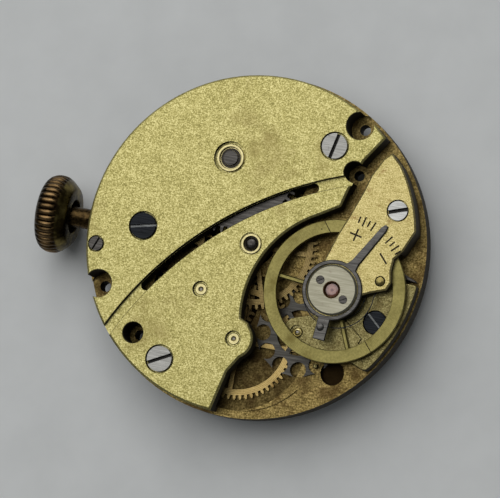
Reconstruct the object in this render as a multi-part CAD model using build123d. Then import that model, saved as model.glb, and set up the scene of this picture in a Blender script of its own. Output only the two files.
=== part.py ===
from build123d import *
import math
import os

# A small hand-wound watch movement seen from its bridge side. The origin is on the centre arbor's
# axis, on the face that the dial lies against. +Z points to the bridges, the crown is towards -X.

# Room between pieces
RUN = 0.03
SEAT = 0.01
LEVEL = 0.05
OVER = 0.4

# The plate's radius, and what the rims on it keep back from its edge
PLATE_R = 13.0
BRIDGE_SETBACK = 0.20
COCK_SETBACK = 0.35
BRIDGE_R = PLATE_R - BRIDGE_SETBACK


def on_plate(shares):
    return (shares[0] * PLATE_R, shares[1] * PLATE_R)


# Places in plan, measured from the centre arbor, as shares of the plate's radius
AXIS_SHARES = {
    "barrel": (-0.2177, 0.4731), "third": (-0.2454, -0.3062), "fourth": (0.0, -0.5554),
    "escape": (0.3454, -0.4500), "balance": (0.5262, -0.1885), "crown_wheel": (-0.6531, 0.0),
    "minute": (-0.1769, -0.0923), "setting": (-0.4877, 0.0), "click": (0.3208, 0.4731),
    "yoke": (-0.7500, -0.2577),
}
HOLE_SHARES = {
    "case_left": (-0.8538, -0.3738), "case_right": (0.5038, 0.7731),
    "foot_left": (-0.5923, -0.6208), "foot_right": (0.5192, 0.5046),
    "stud": (0.7892, -0.0931), "recess": (0.5769, -0.6462),
}
SCREW_SHARES = {
    "bridge_right": (0.3785, 0.6338), "bridge_left": (-0.4069, -0.7438), "lever": (-0.9123, -0.1477),
    "cock": (0.8154, 0.3208), "escape_cock": (0.7846, -0.3231),
    "cover_rim": (-0.8269, 0.1523), "cover_inner": (-0.6538, 0.1577),
}
CENTRE = (0.0, 0.0)
BARREL = on_plate(AXIS_SHARES["barrel"])
THIRD = on_plate(AXIS_SHARES["third"])
FOURTH = on_plate(AXIS_SHARES["fourth"])
ESCAPE = on_plate(AXIS_SHARES["escape"])
BALANCE = on_plate(AXIS_SHARES["balance"])
CROWN_WHEEL = on_plate(AXIS_SHARES["crown_wheel"])
MINUTE = on_plate(AXIS_SHARES["minute"])
SETTING = on_plate(AXIS_SHARES["setting"])

# Numbers of teeth and leaves
BARREL_TEETH, CENTRE_LEAVES = 60, 12
CENTRE_TEETH, THIRD_LEAVES = 60, 6
THIRD_TEETH, FOURTH_LEAVES = 48, 8
FOURTH_TEETH, ESCAPE_LEAVES = 60, 6
ESCAPE_TEETH = 15
RATCHET_TEETH, CROWN_WHEEL_TEETH, WINDING_TEETH = 58, 32, 11
CANNON_LEAVES, MINUTE_TEETH, MINUTE_LEAVES, HOUR_TEETH, SETTING_TEETH = 10, 30, 8, 32, 35
CLUTCH_TEETH = 10
FULL_TURN, HALF_TURN, QUARTER_TURN = 360.0, 180.0, 90.0

# Tooth forms, as shares of the module and of the tooth pitch
WHEEL_ADDENDUM_SHARE = 0.92
WHEEL_DEDENDUM_SHARE = 1.35
LEAF_ADDENDUM_SHARE = 0.66
LEAF_DEDENDUM_SHARE = 1.25
TOOTH_ROOT_SHARE = 0.25
TOOTH_FLANK_SHARE = 0.23
TOOTH_TIP_SHARE = 0.11
LEAF_FLANK_SHARE = 0.17
LEAF_TIP_SHARE = 0.08
CONTRATE_TOOTH_SHARE = 0.40

# Plates and their heights above the dial seat
PLATE_T = 1.70
BRIDGE_T = 1.25
BRIDGE_WALL = 0.35
EDGE_CHAMFER = 0.12
MOTION_DEPTH = 0.40
FLOOR_WEB = 0.20
DRUM_H = 1.15
WHEEL_T = 0.16
CENTRE_WHEEL_LIFT = 0.12
BRIDGE_HEADROOM = 0.27
ESCAPE_ROOM = 0.32
THIRD_DROP = 0.24
FLOOR_ROOM = 0.12
BARREL_FLOOR = MOTION_DEPTH + FLOOR_WEB
DRUM_BASE = BARREL_FLOOR + LEVEL
DRUM_TOP = DRUM_BASE + DRUM_H
CENTRE_WHEEL_Z = DRUM_TOP + CENTRE_WHEEL_LIFT
SEAT_TOP = CENTRE_WHEEL_Z + WHEEL_T + BRIDGE_HEADROOM
BRIDGE_TOP = SEAT_TOP + BRIDGE_T
FOURTH_WHEEL_Z = CENTRE_WHEEL_Z - ESCAPE_ROOM - WHEEL_T
THIRD_WHEEL_Z = FOURTH_WHEEL_Z - THIRD_DROP - WHEEL_T
FOURTH_FLOOR = FOURTH_WHEEL_Z - FLOOR_ROOM
THIRD_FLOOR = THIRD_WHEEL_Z - FLOOR_ROOM

# The bridge's seat on the mainplate and its cut edge beside the balance
SEAT_W = 2.90
SEAT_PAD_R = 1.45
BRIDGE_START_SHARES = (0.80, 0.92)
BRIDGE_EDGE_SHARES = ((1.0105, 1.0283), (0.9183, 0.7411), (0.8634, 0.5319), (0.6631, 0.4131))
BRIDGE_SWEEP_SHARES = ((0.2659, 0.0886), (0.0319, -0.4964))
BRIDGE_STEP_SHARES = ((0.0390, -0.7765), (0.1276, -0.8191))
BRIDGE_BULGE_R = 1.50
BRIDGE_TAIL_SHARES = (0.0, -1.3438)
BRIDGE_END_SHARES = (-0.068, -1.05)

# The milled groove in the bridge and the slot through its middle
GROOVE_CENTRE_SHARES = (1.1538, -1.5654)
SLOT_END_SHARES = ((-0.5823, -0.3346), (0.3015, 0.3769))
GROOVE_CENTRE = on_plate(GROOVE_CENTRE_SHARES)
GROOVE_W = 0.80
GROOVE_DEPTH = 0.35
SLOT_W = 0.74
SLOT_START = on_plate(SLOT_END_SHARES[0])
SLOT_END = on_plate(SLOT_END_SHARES[1])

# Holes near the rim: places and the radii of counterbore and hole
CASE_HOLE_A = on_plate(HOLE_SHARES["case_left"])
CASE_HOLE_B = on_plate(HOLE_SHARES["case_right"])
CASE_BORE_R = 1.06
CASE_HOLE_R = 0.42
FOOT_HOLE_A = on_plate(HOLE_SHARES["foot_left"])
FOOT_HOLE_B = on_plate(HOLE_SHARES["foot_right"])
FOOT_BORE_R = 0.80
FOOT_HOLE_R = 0.40
RIM_BORE_FLOOR = 1.45

# Screws: head radius, head height, shank radius and slot
BRIDGE_SCREWS = (on_plate(SCREW_SHARES["bridge_right"]), on_plate(SCREW_SHARES["bridge_left"]))
BRIDGE_SCREW_TURNS = (59.0, 25.0)
BRIDGE_HEAD_R, BRIDGE_HEAD_H, BRIDGE_SHANK_R = 1.00, 0.45, 0.48
HEAD_PROUD = 0.06
CROWN_HEAD_R = 1.02
CROWN_SHANK_R = 0.42
LEVER_SCREW = on_plate(SCREW_SHARES["lever"])
LEVER_HEAD_R, LEVER_SHANK_R = 0.54, 0.30
LEVER_SCREW_TURN = 70.0
COCK_SCREW = on_plate(SCREW_SHARES["cock"])
COCK_HEAD_R, COCK_SHANK_R = 0.78, 0.42
ESCAPE_SCREW = on_plate(SCREW_SHARES["escape_cock"])
ESCAPE_HEAD_R, ESCAPE_SHANK_R = 0.92, 0.40
SLOT_CUT_W, SLOT_CUT_DEPTH_SHARE = 0.17, 0.5
HEAD_CHAMFER = 0.05
HEAD_ROOM = 0.06
THREAD_REACH = 1.05

# Pivots, bushes and oil sinks in the bridge
PIVOT_R = 0.10
PIVOT_L = 0.45
ARBOR_R = 0.22
FOURTH_ARBOR_R = 0.30
CENTRE_ARBOR_R = 0.44
SMALL_ARBOR_R = 0.12
BARREL_BUSH_R, BARREL_SINK_R, BARREL_SINK_DEPTH, BARREL_PIVOT_R = 1.02, 0.87, 0.22, 0.54
CENTRE_BUSH_R, CENTRE_SINK_R, CENTRE_SINK_DEPTH, CENTRE_PIVOT_R = 0.76, 0.58, 0.25, 0.30
TRAIN_BUSH_R, TRAIN_SINK_R, TRAIN_SINK_DEPTH = 0.42, 0.57, 0.30
ESCAPE_BUSH_R, ESCAPE_SINK_R, ESCAPE_SINK_DEPTH = 0.34, 0.49, 0.18
BUSH_RIM = 0.05

# Wheels: rims, arms and hubs
RIM_W = 0.62
ARM_W = 0.34
HUB_R = 0.80
ARMS = 5
TRAIN_ARMS = 4

# Barrel, its cover, its arbor and the mainspring
DRUM_WALL = 0.28
DRUM_FLOOR_T = 0.16
DRUM_TOOTH_H = 0.24
COVER_T = 0.14
ARBOR_CORE_R = 0.95
ARBOR_NECK_R = 0.70
ARBOR_SQUARE = 0.92
LOWER_PIVOT_R = 0.45
MAINSPRING_T = 0.11
MAINSPRING_TURNS = 5
MAINSPRING_HOLD = 0.04

# Winding wheels under the bridge
WINDING_FLOOR_GAP = 0.20
CONTRATE_H = 0.18
CONTRATE_W = 0.34
CROWN_WHEEL_T = 0.30
RATCHET_T = 0.30
WINDING_HEADROOM = 0.08
CORE_R = 1.27
CORE_FLANGE_R = 1.60
CORE_FLANGE_T = 0.10
CLICK_PIVOT = on_plate(AXIS_SHARES["click"])
CLICK_PIN_R = 0.30
CLICK_R = 0.62
CLICK_T = 0.26
CLICK_BEAK_TURN = -16.0
CLICK_LIFT_TURN = 6.0
CLICK_SPRING_W = 0.14
CLICK_SPRING_R = 6.60
CLICK_SPRING_SPAN = 26.0
CLICK_SPRING_FOOT_R = 0.36

# Stem, crown and keyless work
STEM_Z = 1.40
STEM_R = 0.50
STEM_GROOVE_R = 0.28
STEM_GROOVE_IN = 0.20
STEM_GROOVE_W = 0.34
STEM_SQUARE = 0.56
STEM_PILOT_R = 0.26
STEM_PILOT_L = 0.95
PINION_ROOM = 0.08
WINDING_PINION_L = 1.02
WINDING_PINION_TIP = 0.13
CLUTCH_ROOM = 0.20
CLUTCH_L = 1.28
CLUTCH_R = 1.00
CLUTCH_NECK_R = 0.70
CLUTCH_NECK_W = 0.36
CROWN_TRAVEL = 0.45
CLUTCH_TRAVEL = 0.62
KEYLESS_HALF_W = 1.22
KEYLESS_WALL = 0.98
KEYLESS_END_ROOM = 0.77
CROWN_GAP = 1.62
CROWN_L = 2.63
CROWN_R = 3.0
CROWN_BAND_L = 1.75
CROWN_RIDGES = 38
CROWN_RIDGE_H = 0.10
CROWN_CONE_R = 2.15
CROWN_HOLLOW_R = 1.30
CROWN_HOLLOW_DEPTH = 0.55
CROWN_DOME = 0.22
CROWN_PIPE_R = 0.78
CROWN_PIPE_GAP = 0.12
STEM_HOLE_R = 0.60

# Dial-side levers, springs and cover
LEVER_T = 0.16
LEVER_W = 0.44
LEVER_EYE_W = 0.20
LEVER_STUD_R = 0.13
LEVER_TAIL_SHARES = (-0.8077, -0.2015)
LEVER_TAIL = on_plate(LEVER_TAIL_SHARES)
YOKE_PIVOT = on_plate(AXIS_SHARES["yoke"])
YOKE_PIVOT_R = 0.20
YOKE_W = 0.50
YOKE_NOSE_ROOM = 0.05
YOKE_SPRING_W = 0.16
YOKE_SPRING_SHARES = ((-0.6423, -0.2231), (-0.6923, -0.1154))
YOKE_SPRING_FOOT = on_plate(YOKE_SPRING_SHARES[0])
YOKE_SPRING_TIP = on_plate(YOKE_SPRING_SHARES[1])
COVER_PLATE_T = 0.14
COVER_SCREWS = (on_plate(SCREW_SHARES["cover_rim"]), on_plate(SCREW_SHARES["cover_inner"]))
COVER_SCREW_HEAD_R, COVER_SCREW_SHANK_R, COVER_SCREW_L = 0.42, 0.22, 0.45
COVER_EDGE = 0.20
POCKET_ROOM = 0.12

# Motion work under the dial
CANNON_PIPE_R = 0.62
CANNON_BORE_R = 0.31
CANNON_TIP_Z = -1.65
CENTRE_TIP_PROUD = 0.10
MINUTE_POST_R = 0.46
SECONDS_POST_R = 0.13
HOUR_PIPE_R = 0.78
HOUR_TIP_Z = -1.15
HOUR_T = 0.14
MINUTE_T = 0.14
MINUTE_STUD_R = 0.24
SETTING_STUD_R = 0.55
SECONDS_TIP_Z = -1.30

# Balance, its cock and the regulator
RIM_INSET = 0.354
RIM_WALL = 0.97
RIM_H = 0.42
RIM_Z = 2.82
BALANCE_ARM_W = 0.22
BALANCE_ARM_H = 0.16
BALANCE_ARM_TURN = 53.0
BALANCE_HUB_R = 0.85
CYLINDER_R = 0.42
CYLINDER_WALL = 0.08
STAFF_R = 0.30
COCK_T = 0.55
COCK_RISE = 0.30
COCK_HEAD_HUB_R = 2.20
COCK_FOOT_GAP = 0.36
COCK_LEFT_SHARES = ((0.691, 0.611), (0.637, 0.507), (0.607, 0.402), (0.552, 0.252), (0.502, 0.127))
COCK_RIGHT_SHARES = ((0.955, 0.222), (0.901, 0.099), (0.857, 0.045), (0.853, -0.023), (0.866, -0.092))
COCK_BOTTOM_SHARES = ((0.845, -0.140), (0.757, -0.170), (0.660, -0.215))
COCK_TIP_SHARES = ((0.734, 0.653), (0.800, 0.588))
JEWEL_R = 0.48
JEWEL_T = 0.22
STUD = on_plate(HOLE_SHARES["stud"])
STUD_R = 0.34
INDEX_RING_W = 0.27
INDEX_T = 0.18
INDEX_TURN = 59.2
INDEX_REACH = 6.26
INDEX_ROOT_W, INDEX_TIP_W = 0.66, 0.44
INDEX_TAIL_TURN = -93.0
INDEX_TAIL_REACH = 3.85
INDEX_TAIL_W = 0.78
CURB_REACH = 2.66
CURB_PIN_R = 0.11
CURB_GAP = 0.19
CAP_R = 1.90
CAP_T = 0.30
CAP_CHAMFER = 0.14
CAP_SCREW_REACH = 1.14
CAP_SCREW_TURN = -31.0
CAP_SCREW_R = 0.33
CAP_SHANK_R = 0.18
CAP_JEWEL_R = 0.55
CAP_SETTING_R = 0.66
COLLET_R = 0.52
COLLET_H = 0.16
HAIRSPRING_T = 0.05
HAIRSPRING_H = 0.12
HAIRSPRING_TURNS = 4
HAIRSPRING_REACH = 3.00
SPIRAL_POINTS = 36

# Escape wheel and escape cock
ESCAPE_DISC_T = 0.08
ESCAPE_TOOTH_H = 0.12
ESCAPE_TOOTH_L = 0.58
ESCAPE_TOOTH_W = 0.13
ESCAPE_FLOOR_ROOM = 0.07
CYLINDER_POST_TURN = 60.0
ESCAPE_HUB_R = 0.62
ESCAPE_RIM_SHARE = 0.62
ESCAPE_NECK_SHARE = 0.90
ESCAPE_ARM_W = 0.50
ESCAPE_NECK_W = 0.20
ESCAPE_NECK_SHARES = (-0.36, -0.32, -0.19, -0.15)
ESCAPE_TIP_SHARE = 0.06
ESCAPE_ARMS = 3
ESCAPE_COCK_TOP = 2.62
ESCAPE_COCK_T = 0.50
ESCAPE_COCK_END_R = 1.12
ESCAPE_COCK_FOOT_R = 1.62
CRESCENT_W = 1.90
CRESCENT_SPAN = (-39.5, -5.0)
BLIND_RECESS = on_plate(HOLE_SHARES["recess"])
BLIND_RECESS_R = 0.92
BLIND_RECESS_DEPTH = 0.22

# Sizes that follow from the ones above
SEAT_INNER_R = BRIDGE_R - SEAT_W
COCK_RIM_R = PLATE_R - COCK_SETBACK
KEYLESS_X = KEYLESS_WALL - PLATE_R
STEM_GROOVE_X = KEYLESS_X - STEM_GROOVE_IN
WINDING_PINION_X = KEYLESS_X + PINION_ROOM
CLUTCH_X = WINDING_PINION_X + WINDING_PINION_L + CLUTCH_ROOM
KEYLESS_INNER_X = CLUTCH_X + CLUTCH_L + CLUTCH_TRAVEL + KEYLESS_END_ROOM
STEM_PILOT_X = KEYLESS_INNER_X + STEM_PILOT_L
CROWN_FACE_X = -PLATE_R - CROWN_GAP
CROWN_END_X = CROWN_FACE_X - CROWN_L
CROWN_PIPE_X = -PLATE_R - CROWN_PIPE_GAP
COCK_TOP = BRIDGE_TOP + COCK_RISE
COCK_UNDER = COCK_TOP - COCK_T
WINDING_CEILING = SEAT_TOP + WINDING_FLOOR_GAP + CROWN_WHEEL_T + WINDING_HEADROOM
ESCAPE_DISC_Z = FOURTH_WHEEL_Z + WHEEL_T + ESCAPE_FLOOR_ROOM


def spread(a, b):
    return math.hypot(b[0] - a[0], b[1] - a[1])


def bearing(a, b):
    return math.degrees(math.atan2(b[1] - a[1], b[0] - a[0]))


def polar(radius, degrees, at=CENTRE):
    turn = math.radians(degrees)
    return (at[0] + radius * math.cos(turn), at[1] + radius * math.sin(turn))


def shared(shares, size):
    return [(x * size, y * size) for x, y in shares]


def disc(radius, low, high, at=CENTRE):
    solid = Cylinder(radius, high - low, align=(Align.CENTER, Align.CENTER, Align.MIN))
    return Pos(at[0], at[1], low) * solid


def slab(face, low, high):
    return Pos(0, 0, low) * extrude(face, amount=high - low)


def spot(radius, at):
    return Pos(at[0], at[1]) * Circle(radius)


def turned(steps, at=CENTRE):
    """A turned piece: steps of (radius, low, high) from the bottom up."""
    points = [(0, steps[0][1])]
    for radius, low, high in steps:
        points += [(radius, low), (radius, high)]
    points.append((0, steps[-1][2]))
    section = make_face(Plane.XZ * Polyline(*points, close=True))
    return Pos(at[0], at[1], 0) * revolve(section, Axis.Z)


def bar(a, b, width):
    """A straight bar with round ends between two plan points."""
    middle = Pos((a[0] + b[0]) / 2, (a[1] + b[1]) / 2) * Rot(0, 0, bearing(a, b))
    return middle * Rectangle(spread(a, b), width) + spot(width / 2, a) + spot(width / 2, b)


def hull_of_two(a, radius_a, b, radius_b):
    """The outline round two circles joined by their common tangents."""
    reach = spread(a, b)
    way = bearing(a, b)
    lean = math.degrees(math.acos((radius_a - radius_b) / reach))
    corners = [polar(radius_a, way + lean, a), polar(radius_b, way + lean, b)]
    corners += [polar(radius_b, way - lean, b), polar(radius_a, way - lean, a)]
    return make_face(Polyline(*corners, close=True)) + spot(radius_a, a) + spot(radius_b, b)


def pitch_radii(a, b, teeth_a, teeth_b):
    reach = spread(a, b)
    return reach * teeth_a / (teeth_a + teeth_b), reach * teeth_b / (teeth_a + teeth_b)


def mesh_phase(a, b, teeth_a, phase_a, teeth_b):
    """The phase that puts a gap of wheel b opposite a tooth of wheel a."""
    way = bearing(a, b)
    step_a, step_b = FULL_TURN / teeth_a, FULL_TURN / teeth_b
    lead = ((way - phase_a) % step_a) / step_a
    return way + HALF_TURN + lead * step_b + step_b / 2


def toothed(teeth, rings, phase, at=CENTRE):
    """A toothed outline: rings are (radius, share of the pitch) from one root to the next."""
    step = FULL_TURN / teeth
    points = []
    for tooth in range(teeth):
        for radius, share in rings:
            points.append(polar(radius, phase + (tooth + share) * step, at))
    return make_face(Polyline(*points, close=True))


def wheel_rings(pitch, teeth):
    module = 2 * pitch / teeth
    root = pitch - WHEEL_DEDENDUM_SHARE * module
    tip = pitch + WHEEL_ADDENDUM_SHARE * module
    half = [(root, TOOTH_ROOT_SHARE), (pitch, TOOTH_FLANK_SHARE), (tip, TOOTH_TIP_SHARE)]
    return [(r, -s) for r, s in half] + [(r, s) for r, s in reversed(half)]


def leaf_rings(pitch, teeth):
    module = 2 * pitch / teeth
    root = pitch - LEAF_DEDENDUM_SHARE * module
    tip = pitch + LEAF_ADDENDUM_SHARE * module
    half = [(root, LEAF_FLANK_SHARE), (pitch, LEAF_FLANK_SHARE), (tip, LEAF_TIP_SHARE)]
    return [(r, -s) for r, s in half] + [(r, s) for r, s in reversed(half)]


def pinion(pitch, teeth, phase, low, high, at):
    return slab(toothed(teeth, leaf_rings(pitch, teeth), phase, at), low, high)


def wheel_face(pitch, teeth, phase, bore, arms, first_arm, at):
    """A crossed-out wheel: toothed rim, arms and hub."""
    face = toothed(teeth, wheel_rings(pitch, teeth), phase, at)
    window = spot(pitch - RIM_W, at) - spot(HUB_R, at)
    for arm in range(arms):
        window -= bar(at, polar(pitch, first_arm + arm * FULL_TURN / arms, at), ARM_W)
    return face - window - spot(bore, at)


def outer_tip(pitch, teeth, share):
    return pitch + share * 2 * pitch / teeth


def screw(at, head, shank, top, head_h, tip, slot_turn):
    """A cheese-head screw with a chamfered rim and a sawn slot."""
    under = top - head_h
    body = turned([(shank, tip, under), (head, under, top)], at)
    rim = body.edges().filter_by(GeomType.CIRCLE).sort_by(Axis.Z)[-1]
    body = chamfer(rim, min(HEAD_CHAMFER, head_h / 2, head / 2))
    depth = head_h * SLOT_CUT_DEPTH_SHARE
    saw = Box(2 * head + OVER, SLOT_CUT_W, depth + OVER, align=(Align.CENTER, Align.CENTER, Align.MIN))
    return body - Pos(at[0], at[1], top - depth) * Rot(0, 0, slot_turn) * saw


def screw_hole(at, head, shank, top, head_h, tip):
    """The hole and counterbore that a screw sits in."""
    hole = disc(shank + SEAT, tip - LEVEL, top + OVER, at)
    return hole + disc(head + HEAD_ROOM, top - head_h, top + OVER, at)


def spiral_strip(inner, outer, turns, thickness, start, at):
    """A flat spiral strip of half-turn arcs that swing about two centres by turns."""
    halves = 2 * turns
    step = (outer - inner) / halves
    edges = []
    ends = []
    for side in (1, -1):
        for half in range(halves):
            radius = inner + half * step + side * thickness / 2
            middle = step * (half % 2)
            reach = radius * (1 - 2 * (half % 2))
            edges.append(ThreePointArc((middle + reach, 0), (middle, reach), (middle - reach, 0)))
        ends.append((edges[-halves] @ 0, edges[-1] @ 1))
    edges.append(Line(ends[0][0], ends[1][0]))
    edges.append(Line(ends[0][1], ends[1][1]))
    return Pos(at[0], at[1]) * Rot(0, 0, start) * make_face(edges)


def least_gap(inner, outer, turns, thickness):
    """Least gap of a flat spiral to itself, measured on points at least half a turn apart."""
    step = (outer - inner) / (2 * turns)
    places = []
    for half in range(2 * turns):
        for point in range(SPIRAL_POINTS):
            turn = HALF_TURN * (half + point / SPIRAL_POINTS)
            places.append(polar(inner + half * step, turn, (step * (half % 2), 0)))
    pairs = [(one, other) for at, one in enumerate(places) for other in places[at + SPIRAL_POINTS:]]
    return min(spread(one, other) for one, other in pairs) - thickness


# Gear radii and phases that several pieces share
BARREL_PITCH, CENTRE_LEAF_PITCH = pitch_radii(BARREL, CENTRE, BARREL_TEETH, CENTRE_LEAVES)
CENTRE_PITCH, THIRD_LEAF_PITCH = pitch_radii(CENTRE, THIRD, CENTRE_TEETH, THIRD_LEAVES)
THIRD_PITCH, FOURTH_LEAF_PITCH = pitch_radii(THIRD, FOURTH, THIRD_TEETH, FOURTH_LEAVES)
FOURTH_PITCH, ESCAPE_LEAF_PITCH = pitch_radii(FOURTH, ESCAPE, FOURTH_TEETH, ESCAPE_LEAVES)
RATCHET_PITCH, CROWN_WHEEL_PITCH = pitch_radii(BARREL, CROWN_WHEEL, RATCHET_TEETH, CROWN_WHEEL_TEETH)
CANNON_PITCH, MINUTE_PITCH = pitch_radii(CENTRE, MINUTE, CANNON_LEAVES, MINUTE_TEETH)
MINUTE_LEAF_PITCH, HOUR_PITCH = pitch_radii(MINUTE, CENTRE, MINUTE_LEAVES, HOUR_TEETH)
MINUTE_TO_SETTING = spread(MINUTE, SETTING)
SETTING_PITCH = MINUTE_TO_SETTING - MINUTE_PITCH
WINDING_PITCH = CROWN_WHEEL_PITCH * WINDING_TEETH / CROWN_WHEEL_TEETH
BARREL_TIP = outer_tip(BARREL_PITCH, BARREL_TEETH, WHEEL_ADDENDUM_SHARE)
CENTRE_TIP = outer_tip(CENTRE_PITCH, CENTRE_TEETH, WHEEL_ADDENDUM_SHARE)
THIRD_TIP = outer_tip(THIRD_PITCH, THIRD_TEETH, WHEEL_ADDENDUM_SHARE)
FOURTH_TIP = outer_tip(FOURTH_PITCH, FOURTH_TEETH, WHEEL_ADDENDUM_SHARE)
RATCHET_TIP = outer_tip(RATCHET_PITCH, RATCHET_TEETH, WHEEL_ADDENDUM_SHARE)
CROWN_WHEEL_TIP = outer_tip(CROWN_WHEEL_PITCH, CROWN_WHEEL_TEETH, WHEEL_ADDENDUM_SHARE)
HOUR_TIP = outer_tip(HOUR_PITCH, HOUR_TEETH, WHEEL_ADDENDUM_SHARE)
MINUTE_TIP = outer_tip(MINUTE_PITCH, MINUTE_TEETH, WHEEL_ADDENDUM_SHARE)
SETTING_TIP = outer_tip(SETTING_PITCH, SETTING_TEETH, WHEEL_ADDENDUM_SHARE)
ESCAPE_REACH = spread(ESCAPE, BALANCE)
TRAIN_REACH = spread(CENTRE, FOURTH)
GROOVE_R = spread(GROOVE_CENTRE, SLOT_END)
RIM_R = PLATE_R - spread(CENTRE, BALANCE) - RIM_INSET
DRUM_R = BARREL_PITCH - 2 * WHEEL_DEDENDUM_SHARE * BARREL_PITCH / BARREL_TEETH - RUN
CENTRE_PHASE = mesh_phase(BARREL, CENTRE, BARREL_TEETH, 0, CENTRE_LEAVES)
THIRD_PHASE = mesh_phase(CENTRE, THIRD, CENTRE_TEETH, 0, THIRD_LEAVES)
FOURTH_PHASE = mesh_phase(THIRD, FOURTH, THIRD_TEETH, 0, FOURTH_LEAVES)
ESCAPE_PHASE = mesh_phase(FOURTH, ESCAPE, FOURTH_TEETH, 0, ESCAPE_LEAVES)
CROWN_WHEEL_PHASE = HALF_TURN + HALF_TURN / CROWN_WHEEL_TEETH
RATCHET_PHASE = mesh_phase(CROWN_WHEEL, BARREL, CROWN_WHEEL_TEETH, CROWN_WHEEL_PHASE, RATCHET_TEETH)
MINUTE_PHASE = mesh_phase(CENTRE, MINUTE, CANNON_LEAVES, 0, MINUTE_TEETH)
HOUR_PHASE = mesh_phase(MINUTE, CENTRE, MINUTE_LEAVES, 0, HOUR_TEETH)
SETTING_PHASE = mesh_phase(MINUTE, SETTING, MINUTE_TEETH, MINUTE_PHASE, SETTING_TEETH)

# The springs' courses: inner and outer reach, turns and thickness
HAIRSPRING_COURSE = (COLLET_R + RUN, HAIRSPRING_REACH, HAIRSPRING_TURNS, HAIRSPRING_T)
MAINSPRING_REACHES = (ARBOR_CORE_R + MAINSPRING_T, DRUM_R - DRUM_WALL - MAINSPRING_T - RUN)
MAINSPRING_COURSE = (*MAINSPRING_REACHES, MAINSPRING_TURNS, MAINSPRING_T)


def bridge_outline():
    """The bridge in plan: a disc with the balance side cut away along an S-shaped edge."""
    edge = shared((BRIDGE_START_SHARES,), BRIDGE_R) + shared(BRIDGE_EDGE_SHARES, TRAIN_REACH)
    sweep = shared(BRIDGE_SWEEP_SHARES, TRAIN_REACH)
    step = shared(BRIDGE_STEP_SHARES, TRAIN_REACH)
    tail = shared((BRIDGE_TAIL_SHARES,), TRAIN_REACH) + shared((BRIDGE_END_SHARES,), BRIDGE_R)
    bulge_in = polar(BRIDGE_BULGE_R, QUARTER_TURN / 2, FOURTH)
    bulge_mid = polar(BRIDGE_BULGE_R, 0, FOURTH)
    bulge_out = polar(BRIDGE_BULGE_R, -QUARTER_TURN * 2 / 3, FOURTH)
    far = BRIDGE_R + OVER
    curve = ThreePointArc(edge[-1], *sweep)
    cut = [Polyline(*edge), curve, TangentArc(sweep[-1], step[0], tangent=curve % 1)]
    cut += [Polyline(*step, bulge_in), ThreePointArc(bulge_in, bulge_mid, bulge_out)]
    cut.append(Polyline(bulge_out, *tail))
    cut.append(Polyline(tail[-1], (far, -far), (far, far), edge[0]))
    return Circle(BRIDGE_R) - make_face(cut)


def top_edges(body):
    return body.faces().sort_by(Axis.Z)[-1].edges()


def groove_band(width):
    return spot(GROOVE_R + width / 2, GROOVE_CENTRE) - spot(GROOVE_R - width / 2, GROOVE_CENTRE)


def slot_face():
    """The slot that goes through the bridge, along the groove, with round ends."""
    start, end = bearing(GROOVE_CENTRE, SLOT_START), bearing(GROOVE_CENTRE, SLOT_END)
    path = [polar(GROOVE_R, a, GROOVE_CENTRE) for a in (start, (start + end) / 2, end)]
    inner = [polar(GROOVE_R - SLOT_W / 2, a, GROOVE_CENTRE) for a in (start, (start + end) / 2, end)]
    outer = [polar(GROOVE_R + SLOT_W / 2, a, GROOVE_CENTRE) for a in (start, (start + end) / 2, end)]
    band = [ThreePointArc(*inner), Line(inner[2], outer[2]), ThreePointArc(*outer), Line(outer[0], inner[0])]
    return make_face(band) + spot(SLOT_W / 2, path[0]) + spot(SLOT_W / 2, path[2])


def sink_cut(at, radius, depth, top):
    return disc(radius, top - depth, top + OVER, at)


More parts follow.
